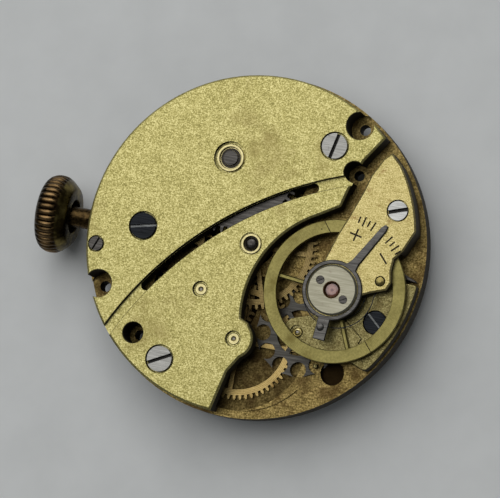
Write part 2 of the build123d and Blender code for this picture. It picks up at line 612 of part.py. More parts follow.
def three_quarter_bridge():
    body = slab(bridge_outline(), SEAT_TOP, BRIDGE_TOP)
    body = chamfer(top_edges(body), EDGE_CHAMFER)
    winding = spot(RATCHET_TIP + LEVEL, BARREL) + spot(CROWN_WHEEL_TIP + LEVEL, CROWN_WHEEL)
    winding += click_spring_face(LEVEL) + click_face(LEVEL, 0) + click_face(LEVEL, CLICK_LIFT_TURN)
    length = WINDING_PINION_L + 2 * LEVEL
    pinion_room = Rectangle(length, 2 * KEYLESS_HALF_W, align=(Align.MIN, Align.CENTER))
    winding += Pos(KEYLESS_X, 0) * pinion_room
    winding = winding & Circle(BRIDGE_R - BRIDGE_WALL)
    pin = spot(CLICK_PIN_R, CLICK_PIVOT)
    body -= slab(winding - pin, SEAT_TOP - OVER, WINDING_CEILING)
    groove = groove_band(GROOVE_W) & (Pos(-BRIDGE_R, -BRIDGE_R) * Rectangle(2 * BRIDGE_R, 2 * BRIDGE_R))
    groove += groove_band(GROOVE_W) & Circle(spread(CENTRE, FOOT_HOLE_B))
    body -= slab(groove, BRIDGE_TOP - GROOVE_DEPTH, BRIDGE_TOP + OVER)
    body -= slab(slot_face(), SEAT_TOP - OVER, BRIDGE_TOP + OVER)
    holes = [
        (CASE_HOLE_A, CASE_BORE_R), (CASE_HOLE_B, CASE_BORE_R), (FOOT_HOLE_A, FOOT_BORE_R),
        (FOOT_HOLE_B, FOOT_BORE_R), (BARREL, BARREL_BUSH_R + SEAT), (CENTRE, CENTRE_BUSH_R + SEAT),
        (THIRD, TRAIN_BUSH_R + SEAT), (FOURTH, TRAIN_BUSH_R + SEAT),
    ]
    for at, radius in holes:
        body -= disc(radius, SEAT_TOP - OVER, BRIDGE_TOP + OVER, at)
    for at in (THIRD, FOURTH):
        body -= sink_cut(at, TRAIN_SINK_R, TRAIN_SINK_DEPTH, BRIDGE_TOP)
    top = BRIDGE_TOP + HEAD_PROUD
    for at in BRIDGE_SCREWS:
        body -= screw_hole(at, BRIDGE_HEAD_R, BRIDGE_SHANK_R, top, BRIDGE_HEAD_H, SEAT_TOP - OVER)
    body -= screw_hole(CROWN_WHEEL, CROWN_HEAD_R, CROWN_SHANK_R, top, BRIDGE_HEAD_H, SEAT_TOP - OVER)
    body -= screw_hole(LEVER_SCREW, LEVER_HEAD_R, LEVER_SHANK_R, top, BRIDGE_HEAD_H, SEAT_TOP - OVER)
    return body


def bush(outer, sink, depth, bore, low, high, at):
    body = disc(outer, low, high, at) - disc(bore, low - OVER, high + OVER, at)
    return body - disc(min(sink, outer - BUSH_RIM), high - depth, high + OVER, at)


def pivot_bushes():
    """Bushes pressed into the bridge and the escape cock, one for each upper pivot."""
    train_top = BRIDGE_TOP - TRAIN_SINK_DEPTH + BUSH_RIM
    train_bore = PIVOT_R + RUN
    bushes = [
        bush(BARREL_BUSH_R, BARREL_SINK_R, BARREL_SINK_DEPTH, BARREL_PIVOT_R + RUN,
             WINDING_CEILING, BRIDGE_TOP + BUSH_RIM, BARREL),
        bush(CENTRE_BUSH_R, CENTRE_SINK_R, CENTRE_SINK_DEPTH, CENTRE_PIVOT_R + RUN,
             SEAT_TOP, BRIDGE_TOP, CENTRE),
        bush(TRAIN_BUSH_R, TRAIN_SINK_R, BUSH_RIM, train_bore, SEAT_TOP, train_top, THIRD),
        bush(TRAIN_BUSH_R, TRAIN_SINK_R, BUSH_RIM, train_bore, SEAT_TOP, train_top, FOURTH),
        bush(ESCAPE_BUSH_R, ESCAPE_SINK_R, BUSH_RIM, train_bore, ESCAPE_COCK_TOP - ESCAPE_COCK_T,
             ESCAPE_COCK_TOP - ESCAPE_SINK_DEPTH + BUSH_RIM, ESCAPE),
    ]
    return Compound(children=[Part() + b for b in bushes])


def rim_hole(bore, hole, at):
    """A counterbore from above with a plain hole through to the dial side."""
    return disc(bore, RIM_BORE_FLOOR, BRIDGE_TOP + OVER, at) + disc(hole, -OVER, BRIDGE_TOP, at)


def turned_about(point, centre, degrees):
    return polar(spread(centre, point), bearing(centre, point) + degrees, centre)


def lever_pull_turn():
    """How far the setting lever turns when the crown is pulled out."""
    stud = (STEM_GROOVE_X, 0)
    start = math.radians(bearing(LEVER_SCREW, stud))
    arm = spread(LEVER_SCREW, stud)
    return math.degrees(math.acos(math.cos(start) - CROWN_TRAVEL / arm) - start)


def lever_face(room, pull):
    stud = turned_about((STEM_GROOVE_X, 0), LEVER_SCREW, pull)
    tail = turned_about(LEVER_TAIL, LEVER_SCREW, pull)
    face = bar(LEVER_SCREW, stud, LEVER_W + 2 * room) + bar(LEVER_SCREW, tail, LEVER_W + 2 * room)
    return face + spot(LEVER_SHANK_R + LEVER_EYE_W + room, LEVER_SCREW)


def yoke_nose():
    return (CLUTCH_X + CLUTCH_L / 2, -CLUTCH_NECK_R - CLUTCH_NECK_W / 2)


def yoke_pull_turn():
    """How far the yoke turns when it shifts the clutch."""
    start = math.radians(bearing(YOKE_PIVOT, yoke_nose()))
    arm = spread(YOKE_PIVOT, yoke_nose())
    return math.degrees(math.acos(math.cos(start) + CLUTCH_TRAVEL / arm) - start)


def yoke_face(room, pull):
    nose = turned_about(yoke_nose(), YOKE_PIVOT, pull)
    return hull_of_two(YOKE_PIVOT, YOKE_W / 2 + YOKE_PIVOT_R + room, nose, CLUTCH_NECK_W / 2 + room)


def yoke_spring_face(room):
    face = bar(YOKE_SPRING_FOOT, YOKE_SPRING_TIP, YOKE_SPRING_W + 2 * room)
    return face + spot(YOKE_SPRING_W + room, YOKE_SPRING_FOOT)


def cover_face(room):
    """The thin plate over the keyless work: a bar with two screws and an arm over the lever."""
    left, right = COVER_SCREWS
    width = 2 * (COVER_SCREW_HEAD_R + COVER_EDGE + room)
    return bar(left, right, width) + bar(left, LEVER_TAIL, COVER_SCREW_HEAD_R + 2 * room)


def motion_pocket():
    """The dial-side pockets: deep under the wheels and levers, shallow under the cover's lands."""
    face = spot(HOUR_TIP + POCKET_ROOM, CENTRE) + spot(MINUTE_TIP + POCKET_ROOM, MINUTE)
    face += spot(SETTING_TIP + POCKET_ROOM, SETTING)
    for share in (0, 1 / 2, 1):
        face += lever_face(POCKET_ROOM, share * lever_pull_turn())
        face += yoke_face(POCKET_ROOM, share * yoke_pull_turn())
    face += yoke_spring_face(POCKET_ROOM)
    pocket = slab(face, -OVER, MOTION_DEPTH) + slab(cover_face(LEVEL / 2), -OVER, COVER_PLATE_T)
    for at, radius in ((MINUTE, MINUTE_STUD_R), (SETTING, SETTING_STUD_R)):
        pocket -= disc(radius, LEVEL / 2, MOTION_DEPTH, at)
    return pocket - disc(YOKE_PIVOT_R, COVER_PLATE_T, MOTION_DEPTH, YOKE_PIVOT)


def mainplate():
    body = disc(PLATE_R, 0, PLATE_T)
    seat = bridge_outline() - Circle(SEAT_INNER_R)
    for at in BRIDGE_SCREWS + (FOOT_HOLE_B,):
        seat += spot(SEAT_PAD_R, at) & bridge_outline()
    body += slab(seat, PLATE_T - LEVEL, SEAT_TOP)
    wells = [
        (BARREL, BARREL_TIP + 2 * LEVEL, BARREL_FLOOR),
        (CENTRE, outer_tip(CENTRE_LEAF_PITCH, CENTRE_LEAVES, LEAF_ADDENDUM_SHARE) + 2 * LEVEL, BARREL_FLOOR),
        (THIRD, THIRD_TIP + 2 * LEVEL, THIRD_FLOOR),
        (FOURTH, FOURTH_TIP + OVER * 2, FOURTH_FLOOR),
        (FOURTH, outer_tip(FOURTH_LEAF_PITCH, FOURTH_LEAVES, LEAF_ADDENDUM_SHARE) + 2 * LEVEL, THIRD_FLOOR),
        (ESCAPE, ESCAPE_REACH + 3 * LEVEL, ESCAPE_DISC_Z - FLOOR_ROOM),
        (ESCAPE, outer_tip(ESCAPE_LEAF_PITCH, ESCAPE_LEAVES, LEAF_ADDENDUM_SHARE) + 2 * LEVEL, THIRD_FLOOR),
        (BALANCE, CYLINDER_R + 2 * LEVEL, THIRD_FLOOR),
        (CENTRE, CENTRE_TIP + 2 * LEVEL, CENTRE_WHEEL_Z - FLOOR_ROOM),
    ]
    for at, radius, floor in wells:
        body -= disc(radius, floor, BRIDGE_TOP, at)
    length = KEYLESS_INNER_X - KEYLESS_X
    winding = Box(length, 2 * KEYLESS_HALF_W, 2 * BRIDGE_TOP)
    body -= Pos(KEYLESS_X + length / 2, 0, BRIDGE_TOP / 2) * winding
    body -= motion_pocket()
    body -= stem_bores()
    for at, bore, hole in ((CASE_HOLE_A, CASE_BORE_R, CASE_HOLE_R), (CASE_HOLE_B, CASE_BORE_R, CASE_HOLE_R)):
        body -= rim_hole(bore, hole, at)
    for at in (FOOT_HOLE_A, FOOT_HOLE_B):
        body -= rim_hole(FOOT_BORE_R, FOOT_HOLE_R, at)
    body -= disc(BLIND_RECESS_R, PLATE_T - BLIND_RECESS_DEPTH, BRIDGE_TOP, BLIND_RECESS)
    body -= lower_bearings()
    return body


def stem_bores():
    """The stem's bearing in the rim, its pilot hole and the way in for the lever's stud."""
    along = Rot(0, QUARTER_TURN, 0)
    rim = Pos(-PLATE_R, 0, STEM_Z) * along * Cylinder(STEM_R + RUN, 2 * KEYLESS_WALL)
    pilot_l = STEM_PILOT_X - KEYLESS_INNER_X
    pilot = Pos(KEYLESS_INNER_X + pilot_l / 2, 0, STEM_Z) * along * Cylinder(STEM_PILOT_R + RUN, pilot_l + LEVEL)
    stud = slab(spot(LEVER_STUD_R + LEVEL, (STEM_GROOVE_X, 0)), 0, STEM_Z)
    for share in (1 / 4, 1 / 2, 3 / 4, 1):
        at = turned_about((STEM_GROOVE_X, 0), LEVER_SCREW, share * lever_pull_turn())
        stud += slab(spot(LEVER_STUD_R + LEVEL, at), 0, STEM_Z)
    return rim + pilot + stud


def lower_bearings():
    """Holes through or into the mainplate for pivots, studs and screws."""
    deep = THIRD_FLOOR - PIVOT_L
    cuts = disc(LOWER_PIVOT_R + RUN, -OVER, BRIDGE_TOP, BARREL)
    cuts += disc(CENTRE_ARBOR_R + RUN, -OVER, BRIDGE_TOP, CENTRE)
    cuts += disc(FOURTH_ARBOR_R + RUN, -OVER, BRIDGE_TOP, FOURTH)
    for at in (THIRD, ESCAPE):
        cuts += disc(PIVOT_R + RUN, deep, BRIDGE_TOP, at)
    cuts += disc(JEWEL_R + SEAT, THIRD_FLOOR - JEWEL_T, BRIDGE_TOP, BALANCE)
    cuts += disc(PIVOT_R + RUN, deep - JEWEL_T, BRIDGE_TOP, BALANCE)
    cuts += disc(BRIDGE_SHANK_R + SEAT, SEAT_TOP - THREAD_REACH, BRIDGE_TOP, BRIDGE_SCREWS[0])
    cuts += disc(BRIDGE_SHANK_R + SEAT, SEAT_TOP - THREAD_REACH, BRIDGE_TOP, BRIDGE_SCREWS[1])
    cuts += disc(LEVER_SHANK_R + SEAT, -OVER, BRIDGE_TOP, LEVER_SCREW)
    cuts += disc(COCK_SHANK_R + SEAT, PLATE_T - THREAD_REACH, BRIDGE_TOP, COCK_SCREW)
    cuts += disc(ESCAPE_SHANK_R + SEAT, PLATE_T - THREAD_REACH, BRIDGE_TOP, ESCAPE_SCREW)
    for at in COVER_SCREWS:
        cuts += disc(COVER_SCREW_SHANK_R + SEAT, -OVER, COVER_SCREW_L + LEVEL, at)
    return cuts


def cock_outline():
    left = shared(COCK_LEFT_SHARES, BRIDGE_R)
    right = shared(COCK_RIGHT_SHARES, BRIDGE_R)
    bottom = shared(COCK_BOTTOM_SHARES, BRIDGE_R)
    tip = shared(COCK_TIP_SHARES, BRIDGE_R)
    rim_way = (bearing(CENTRE, tip[-1]) + bearing(CENTRE, right[0])) / 2
    rim = ThreePointArc(tip[-1], polar(COCK_RIM_R, rim_way), right[0])
    near = polar(COCK_HEAD_HUB_R, HALF_TURN * 2 / 3, BALANCE)
    edges = [Polyline(BALANCE, near, *reversed(left), *tip), rim, Polyline(*right, *bottom, BALANCE)]
    return make_face(edges) + spot(COCK_HEAD_HUB_R, BALANCE)


def balance_cock():
    face = cock_outline()
    body = slab(face, COCK_UNDER, COCK_TOP)
    body = chamfer(top_edges(body), EDGE_CHAMFER)
    foot = face - spot(RIM_R + COCK_FOOT_GAP, BALANCE)
    body += slab(foot, PLATE_T, COCK_UNDER + LEVEL)
    body -= disc(JEWEL_R + SEAT, COCK_UNDER - OVER, COCK_TOP + OVER, BALANCE)
    body -= disc(STUD_R + SEAT, COCK_UNDER - OVER, COCK_TOP + OVER, STUD)
    body -= screw_hole(COCK_SCREW, COCK_HEAD_R, COCK_SHANK_R, COCK_TOP, BRIDGE_HEAD_H, PLATE_T - OVER)
    for turn in (CAP_SCREW_TURN, CAP_SCREW_TURN + HALF_TURN):
        at = polar(CAP_SCREW_REACH, turn, BALANCE)
        body -= disc(CAP_SHANK_R + SEAT, COCK_UNDER - OVER, COCK_TOP + OVER, at)
    return body


def crescent_face():
    """The outer part of the escape cock, along the rim beside the balance."""
    low, high = CRESCENT_SPAN
    sector = [CENTRE] + [polar(2 * PLATE_R, a) for a in (low, (low + high) / 2, high)]
    wedge = make_face(Polyline(*sector, close=True))
    return (Circle(BRIDGE_R) - Circle(BRIDGE_R - CRESCENT_W)) & wedge


def escape_cock():
    face = hull_of_two(ESCAPE, ESCAPE_COCK_END_R, ESCAPE_SCREW, ESCAPE_COCK_FOOT_R) + crescent_face()
    face = face & Circle(BRIDGE_R)
    under = ESCAPE_COCK_TOP - ESCAPE_COCK_T
    body = slab(face, under, ESCAPE_COCK_TOP)
    foot = face - spot(ESCAPE_REACH + 3 * LEVEL, ESCAPE)
    body += slab(foot, PLATE_T, under + LEVEL)
    body -= disc(ESCAPE_BUSH_R + SEAT, under - OVER, ESCAPE_COCK_TOP + OVER, ESCAPE)
    body -= sink_cut(ESCAPE, ESCAPE_SINK_R, ESCAPE_SINK_DEPTH, ESCAPE_COCK_TOP)
    head_h = BRIDGE_HEAD_H
    return body - screw_hole(ESCAPE_SCREW, ESCAPE_HEAD_R, ESCAPE_SHANK_R, ESCAPE_COCK_TOP, head_h, PLATE_T - OVER)


def bridge_screws():
    tip = SEAT_TOP - THREAD_REACH + LEVEL
    top = BRIDGE_TOP + HEAD_PROUD
    pair = zip(BRIDGE_SCREWS, BRIDGE_SCREW_TURNS)
    return Compound(children=[
        screw(at, BRIDGE_HEAD_R, BRIDGE_SHANK_R, top, BRIDGE_HEAD_H, tip, turn) for at, turn in pair
    ])


def core_low():
    return SEAT_TOP + WINDING_FLOOR_GAP - SEAT - CORE_FLANGE_T


def crown_wheel_screw():
    tip = core_low() + SEAT
    return screw(CROWN_WHEEL, CROWN_HEAD_R, CROWN_SHANK_R, BRIDGE_TOP + HEAD_PROUD, BRIDGE_HEAD_H, tip, 0)


def setting_lever_screw():
    top = BRIDGE_TOP + HEAD_PROUD
    return screw(LEVER_SCREW, LEVER_HEAD_R, LEVER_SHANK_R, top, BRIDGE_HEAD_H, LEVEL, LEVER_SCREW_TURN)


def balance_cock_screw():
    tip = PLATE_T - THREAD_REACH + LEVEL
    return screw(COCK_SCREW, COCK_HEAD_R, COCK_SHANK_R, COCK_TOP, BRIDGE_HEAD_H, tip, 0)


def escape_cock_screw():
    tip = PLATE_T - THREAD_REACH + LEVEL
    turn = -QUARTER_TURN / 2
    return screw(ESCAPE_SCREW, ESCAPE_HEAD_R, ESCAPE_SHANK_R, ESCAPE_COCK_TOP, BRIDGE_HEAD_H, tip, turn)


def cap_plate():
    body = disc(CAP_R, COCK_TOP, COCK_TOP + CAP_T, BALANCE)
    rim = body.edges().filter_by(GeomType.CIRCLE).sort_by(Axis.Z)[-1]
    body = chamfer(rim, CAP_CHAMFER)
    body -= disc(CAP_SETTING_R, COCK_TOP - OVER, COCK_TOP + CAP_T + OVER, BALANCE)
    for turn in (CAP_SCREW_TURN, CAP_SCREW_TURN + HALF_TURN):
        at = polar(CAP_SCREW_REACH, turn, BALANCE)
        body -= screw_hole(at, CAP_SCREW_R - HEAD_ROOM, CAP_SHANK_R, COCK_TOP + CAP_T, CAP_T / 2, COCK_TOP - OVER)
    return body


def cap_screws():
    top = COCK_TOP + CAP_T
    pieces = []
    for turn in (CAP_SCREW_TURN, CAP_SCREW_TURN + HALF_TURN):
        at = polar(CAP_SCREW_REACH, turn, BALANCE)
        pieces.append(disc(CAP_SHANK_R, COCK_UNDER + LEVEL, top - CAP_T / 2, at)
                      + disc(CAP_SCREW_R - HEAD_ROOM - SEAT, top - CAP_T / 2, top - SEAT, at))
    return Compound(children=[Part() + p for p in pieces])


def cap_jewel():
    """The end stone in its turned setting ring."""
    setting_top = COCK_TOP + CAP_T - SEAT
    return turned([(CAP_SETTING_R - SEAT, COCK_TOP, setting_top - CAP_T / 2)], BALANCE)


def hole_jewels():
    """The upper and lower hole stones of the balance."""
    stones = []
    for low in (COCK_TOP - JEWEL_T - SEAT, THIRD_FLOOR - JEWEL_T):
        stone = disc(JEWEL_R, low, low + JEWEL_T, BALANCE)
        stones.append(stone - disc(PIVOT_R + RUN, low - OVER, low + JEWEL_T + OVER, BALANCE))
    return Compound(children=[Part() + s for s in stones])


def index_ring_inner():
    return CAP_R + RUN


def regulator_index():
    outer = index_ring_inner() + INDEX_RING_W
    face = spot(outer, BALANCE)
    tip = polar(INDEX_REACH, INDEX_TURN, BALANCE)
    side = INDEX_TURN + QUARTER_TURN
    root = [polar(s * INDEX_ROOT_W / 2, side, BALANCE) for s in (1, -1)]
    end = [polar(s * INDEX_TIP_W / 2, side, tip) for s in (-1, 1)]
    face += make_face(Polyline(*root, *end, close=True))
    tail = polar(INDEX_TAIL_REACH - INDEX_TAIL_W / 2, INDEX_TAIL_TURN, BALANCE)
    middle = Pos(tail[0], tail[1]) * Rot(0, 0, INDEX_TAIL_TURN)
    face += bar(BALANCE, tail, INDEX_TAIL_W) + middle * Rectangle(INDEX_TAIL_W, INDEX_TAIL_W)
    face -= spot(index_ring_inner(), BALANCE)
    for at in curb_places():
        face -= spot(CURB_PIN_R, at)
    return slab(face, COCK_TOP + LEVEL / 2, COCK_TOP + LEVEL / 2 + INDEX_T)


def curb_places():
    middle = polar(CURB_REACH, INDEX_TAIL_TURN, BALANCE)
    reach = CURB_GAP / 2 + CURB_PIN_R
    way = INDEX_TAIL_TURN
    return [polar(reach, way, middle), polar(-reach, way, middle)]


def regulator_pins():
    top = COCK_TOP + LEVEL / 2 + INDEX_T
    low = hairspring_base() + LEVEL / 2
    return Compound(children=[Part() + disc(CURB_PIN_R, low, top, at) for at in curb_places()])


def hairspring_base():
    return RIM_Z + BALANCE_ARM_H + COLLET_H / 2


def hairspring():
    """The flat spiral, with its outer end led out to the stud."""
    low = hairspring_base()
    face = spiral_strip(*HAIRSPRING_COURSE, 0, BALANCE)
    start = polar(HAIRSPRING_REACH, 0, BALANCE)
    face += bar(start, STUD, HAIRSPRING_T)
    return slab(face - spot(STUD_R, STUD), low, low + HAIRSPRING_H)


def hairspring_stud():
    return disc(STUD_R, hairspring_base(), COCK_TOP - LEVEL, STUD)


def balance_wheel():
    face = spot(RIM_R, BALANCE) - spot(RIM_R - RIM_WALL, BALANCE)
    rim = slab(face, RIM_Z, RIM_Z + RIM_H)
    arms = spot(BALANCE_HUB_R, BALANCE)
    for arm in range(3):
        end = polar(RIM_R - RIM_WALL / 2, BALANCE_ARM_TURN + arm * FULL_TURN / 3, BALANCE)
        arms += bar(BALANCE, end, BALANCE_ARM_W)
    body = rim + slab(arms, RIM_Z, RIM_Z + BALANCE_ARM_H)
    return body - disc(STAFF_R + SEAT, RIM_Z - OVER, RIM_Z + RIM_H + OVER, BALANCE)


def balance_cylinder():
    """The staff: a hollow cylinder cut away at the escape wheel, with a plug and pivot at each end."""
    tooth_top = ESCAPE_DISC_Z + ESCAPE_DISC_T + ESCAPE_TOOTH_H
    low, high = ESCAPE_DISC_Z - LEVEL, tooth_top + LEVEL / 2
    lip = ESCAPE_DISC_Z + ESCAPE_DISC_T + SEAT
    foot = THIRD_FLOOR + LEVEL
    body = turned([
        (PIVOT_R, foot - PIVOT_L + LEVEL, foot), (STAFF_R, foot, low - LEVEL),
        (CYLINDER_R, low - LEVEL, RIM_Z), (STAFF_R, RIM_Z, COCK_UNDER - LEVEL),
        (PIVOT_R, COCK_UNDER - LEVEL, COCK_TOP - LEVEL),
    ], BALANCE)
    body -= disc(CYLINDER_R - CYLINDER_WALL, low, high, BALANCE)
    toward = bearing(BALANCE, ESCAPE)
    opening = Box(CYLINDER_R * 2, CYLINDER_R * 3, high - low, align=(Align.MIN, Align.CENTER, Align.MIN))
    body -= Pos(BALANCE[0], BALANCE[1], low) * Rot(0, 0, toward) * opening
    half = CYLINDER_POST_TURN / 2
    keep = [polar(2 * CYLINDER_R, toward + HALF_TURN + a, BALANCE) for a in (-half, half)]
    passage = spot(CYLINDER_R + SEAT, BALANCE) - make_face(Polyline(BALANCE, *keep, close=True))
    return body - slab(passage, low, lip)


def hairspring_collet():
    low = RIM_Z + BALANCE_ARM_H
    ring = disc(COLLET_R, low, low + COLLET_H + HAIRSPRING_H / 2, BALANCE)
    return ring - disc(STAFF_R + SEAT, low - OVER, COCK_TOP, BALANCE)


def escape_wheel():
    """Fifteen raised teeth on U-shaped arms round a thin crossed-out disc."""
    step = FULL_TURN / ESCAPE_TEETH
    way = bearing(ESCAPE, BALANCE)
    neck = ESCAPE_REACH * ESCAPE_NECK_SHARE
    rim = ESCAPE_REACH * ESCAPE_RIM_SHARE
    face = spot(rim + SEAT, ESCAPE) - (spot(rim - ESCAPE_ARM_W, ESCAPE) - spot(ESCAPE_HUB_R, ESCAPE))
    for arm in range(ESCAPE_ARMS):
        face += bar(ESCAPE, polar(rim - ESCAPE_NECK_W, way + arm * FULL_TURN / ESCAPE_ARMS, ESCAPE), ARM_W)
    teeth = Part()
    disc_top = ESCAPE_DISC_Z + ESCAPE_DISC_T
    for tooth in range(ESCAPE_TEETH):
        turn = way + tooth * step
        arm = [polar(r, turn + s * step, ESCAPE) for r, s in zip((rim, neck, neck, rim), ESCAPE_NECK_SHARES)]
        face += make_face(Polyline(*arm, close=True))
        reach = [(neck, ESCAPE_NECK_SHARES[1]), (ESCAPE_REACH, -ESCAPE_TIP_SHARE), (ESCAPE_REACH, ESCAPE_TIP_SHARE)]
        reach.append((neck, ESCAPE_NECK_SHARES[2]))
        bow = [polar(r, turn + s * step, ESCAPE) for r, s in reach]
        face += make_face(Polyline(*bow, close=True))
        head = Pos(*polar(ESCAPE_REACH, turn, ESCAPE)) * Rot(0, 0, turn + QUARTER_TURN)
        teeth += slab(head * Rectangle(ESCAPE_TOOTH_L, ESCAPE_TOOTH_W), disc_top - SEAT, disc_top + ESCAPE_TOOTH_H)
    body = slab(face, ESCAPE_DISC_Z, disc_top) + teeth
    return body - disc(ARBOR_R + SEAT, ESCAPE_DISC_Z - OVER, disc_top + OVER, ESCAPE)


def escape_pinion():
    foot = THIRD_FLOOR + LEVEL
    under = ESCAPE_COCK_TOP - ESCAPE_COCK_T
    leaf_low = FOURTH_WHEEL_Z - LEVEL
    shaft = turned([
        (PIVOT_R, foot - PIVOT_L + LEVEL, foot), (ARBOR_R, foot, under - LEVEL),
        (PIVOT_R, under - LEVEL, ESCAPE_COCK_TOP - ESCAPE_SINK_DEPTH),
    ], ESCAPE)
    return shaft + pinion(ESCAPE_LEAF_PITCH, ESCAPE_LEAVES, ESCAPE_PHASE, leaf_low, ESCAPE_DISC_Z, ESCAPE)


def fourth_wheel():
    bore = FOURTH_ARBOR_R + SEAT
    face = wheel_face(FOURTH_PITCH, FOURTH_TEETH, 0, bore, TRAIN_ARMS, -QUARTER_TURN, FOURTH)
    return slab(face, FOURTH_WHEEL_Z, FOURTH_WHEEL_Z + WHEEL_T)


def fourth_pinion():
    """The seconds arbor, whose post carries a hand below the dial seat."""
    foot = THIRD_FLOOR + LEVEL
    shaft = turned([
        (SECONDS_POST_R, SECONDS_TIP_Z, -LEVEL), (FOURTH_ARBOR_R, -LEVEL, SEAT_TOP - LEVEL),
        (PIVOT_R, SEAT_TOP - LEVEL, BRIDGE_TOP - TRAIN_SINK_DEPTH),
    ], FOURTH)
    leaves = pinion(FOURTH_LEAF_PITCH, FOURTH_LEAVES, FOURTH_PHASE, foot, FOURTH_WHEEL_Z, FOURTH)
    return shaft + leaves


def third_wheel():
    bore = ARBOR_R + SEAT
    face = wheel_face(THIRD_PITCH, THIRD_TEETH, 0, bore, TRAIN_ARMS, QUARTER_TURN / 2, THIRD)
    return slab(face, THIRD_WHEEL_Z, THIRD_WHEEL_Z + WHEEL_T)


def third_pinion():
    foot = THIRD_FLOOR + LEVEL
    leaf_low = CENTRE_WHEEL_Z - LEVEL
    neck = FOURTH_WHEEL_Z - LEVEL
    shaft = turned([
        (PIVOT_R, foot - PIVOT_L + LEVEL, foot), (ARBOR_R, foot, neck), (SMALL_ARBOR_R, neck, leaf_low),
        (ARBOR_R, leaf_low, SEAT_TOP - LEVEL), (PIVOT_R, SEAT_TOP - LEVEL, BRIDGE_TOP - TRAIN_SINK_DEPTH),
    ], THIRD)
    leaf_high = CENTRE_WHEEL_Z + WHEEL_T + LEVEL
    return shaft + pinion(THIRD_LEAF_PITCH, THIRD_LEAVES, THIRD_PHASE, leaf_low, leaf_high, THIRD)


def centre_wheel():
    bore = CENTRE_ARBOR_R + SEAT
    face = wheel_face(CENTRE_PITCH, CENTRE_TEETH, 0, bore, ARMS, 0, CENTRE)
    return slab(face, CENTRE_WHEEL_Z, CENTRE_WHEEL_Z + WHEEL_T)


def centre_pinion():
    """The centre arbor: pinion, wheel seat, domed upper pivot and the post for the cannon pinion."""
    foot = BARREL_FLOOR + LEVEL
    shaft = turned([
        (CANNON_BORE_R - SEAT, CANNON_TIP_Z - CENTRE_TIP_PROUD, MOTION_DEPTH),
        (CENTRE_ARBOR_R, MOTION_DEPTH, SEAT_TOP - LEVEL),
        (CENTRE_PIVOT_R, SEAT_TOP - LEVEL, BRIDGE_TOP - BUSH_RIM),
    ], CENTRE)
    ends = shaft.edges().filter_by(GeomType.CIRCLE).sort_by(Axis.Z)
    shaft = fillet([ends[0], ends[-1]], CENTRE_PIVOT_R * 2 / 3)
    high = THIRD_WHEEL_Z - LEVEL
    return shaft + pinion(CENTRE_LEAF_PITCH, CENTRE_LEAVES, CENTRE_PHASE, foot, high, CENTRE)


def barrel_drum():
    body = disc(DRUM_R, DRUM_BASE, DRUM_TOP, BARREL)
    body += slab(toothed(BARREL_TEETH, wheel_rings(BARREL_PITCH, BARREL_TEETH), 0, BARREL),
                 DRUM_BASE, DRUM_BASE + DRUM_TOOTH_H)
    body -= disc(DRUM_R - DRUM_WALL, DRUM_BASE + DRUM_FLOOR_T, DRUM_TOP + OVER, BARREL)
    return body - disc(LOWER_PIVOT_R + RUN, DRUM_BASE - OVER, DRUM_TOP, BARREL)


def barrel_cover():
    body = disc(DRUM_R - DRUM_WALL - SEAT, DRUM_TOP - COVER_T, DRUM_TOP, BARREL)
    return body - disc(ARBOR_NECK_R + RUN, DRUM_TOP - COVER_T - OVER, DRUM_TOP + OVER, BARREL)


def mainspring():
    face = spiral_strip(*MAINSPRING_COURSE, 0, BARREL)
    return slab(face, DRUM_BASE + DRUM_FLOOR_T + MAINSPRING_HOLD, DRUM_TOP - COVER_T - MAINSPRING_HOLD)


def barrel_arbor():
    core_low, core_high = DRUM_BASE + DRUM_FLOOR_T + LEVEL / 2, DRUM_TOP - COVER_T - LEVEL / 2
    ratchet_low = SEAT_TOP + WINDING_FLOOR_GAP
    body = turned([
        (LOWER_PIVOT_R, LEVEL, core_low), (ARBOR_CORE_R, core_low, core_high),
        (ARBOR_NECK_R, core_high, ratchet_low),
    ], BARREL)
    square = Pos(*BARREL) * Rectangle(ARBOR_SQUARE, ARBOR_SQUARE)
    body += slab(square, ratchet_low, ratchet_low + RATCHET_T)
    top = BRIDGE_TOP - BARREL_SINK_DEPTH + BUSH_RIM
    return body + disc(BARREL_PIVOT_R, ratchet_low + RATCHET_T, top, BARREL)


def ratchet_wheel():
    module = 2 * RATCHET_PITCH / RATCHET_TEETH
    root, tip = RATCHET_PITCH - WHEEL_DEDENDUM_SHARE * module, RATCHET_TIP
    rings = [(root, -TOOTH_FLANK_SHARE), (tip, -TOOTH_TIP_SHARE), (tip, TOOTH_TIP_SHARE)]
    rings.append((root, TOOTH_FLANK_SHARE))
    face = toothed(RATCHET_TEETH, rings, RATCHET_PHASE, BARREL)
    face -= Pos(*BARREL) * Rectangle(ARBOR_SQUARE + 2 * SEAT, ARBOR_SQUARE + 2 * SEAT)
    low = SEAT_TOP + WINDING_FLOOR_GAP
    return slab(face, low, low + RATCHET_T)


def crown_wheel():
    """Spur teeth for the ratchet wheel and contrate teeth below for the winding pinion."""
    module = 2 * CROWN_WHEEL_PITCH / CROWN_WHEEL_TEETH
    root, tip = CROWN_WHEEL_PITCH - WHEEL_DEDENDUM_SHARE * module, CROWN_WHEEL_TIP
    rings = [(root, -TOOTH_FLANK_SHARE), (tip, -TOOTH_TIP_SHARE), (tip, TOOTH_TIP_SHARE)]
    rings.append((root, TOOTH_FLANK_SHARE))
    low = SEAT_TOP + WINDING_FLOOR_GAP
    body = slab(toothed(CROWN_WHEEL_TEETH, rings, CROWN_WHEEL_PHASE, CROWN_WHEEL), low, low + CROWN_WHEEL_T)
    body += crown_wheel_contrate(low, root)
    return body - disc(CORE_R + RUN, low - CONTRATE_H - OVER, low + CROWN_WHEEL_T + OVER, CROWN_WHEEL)


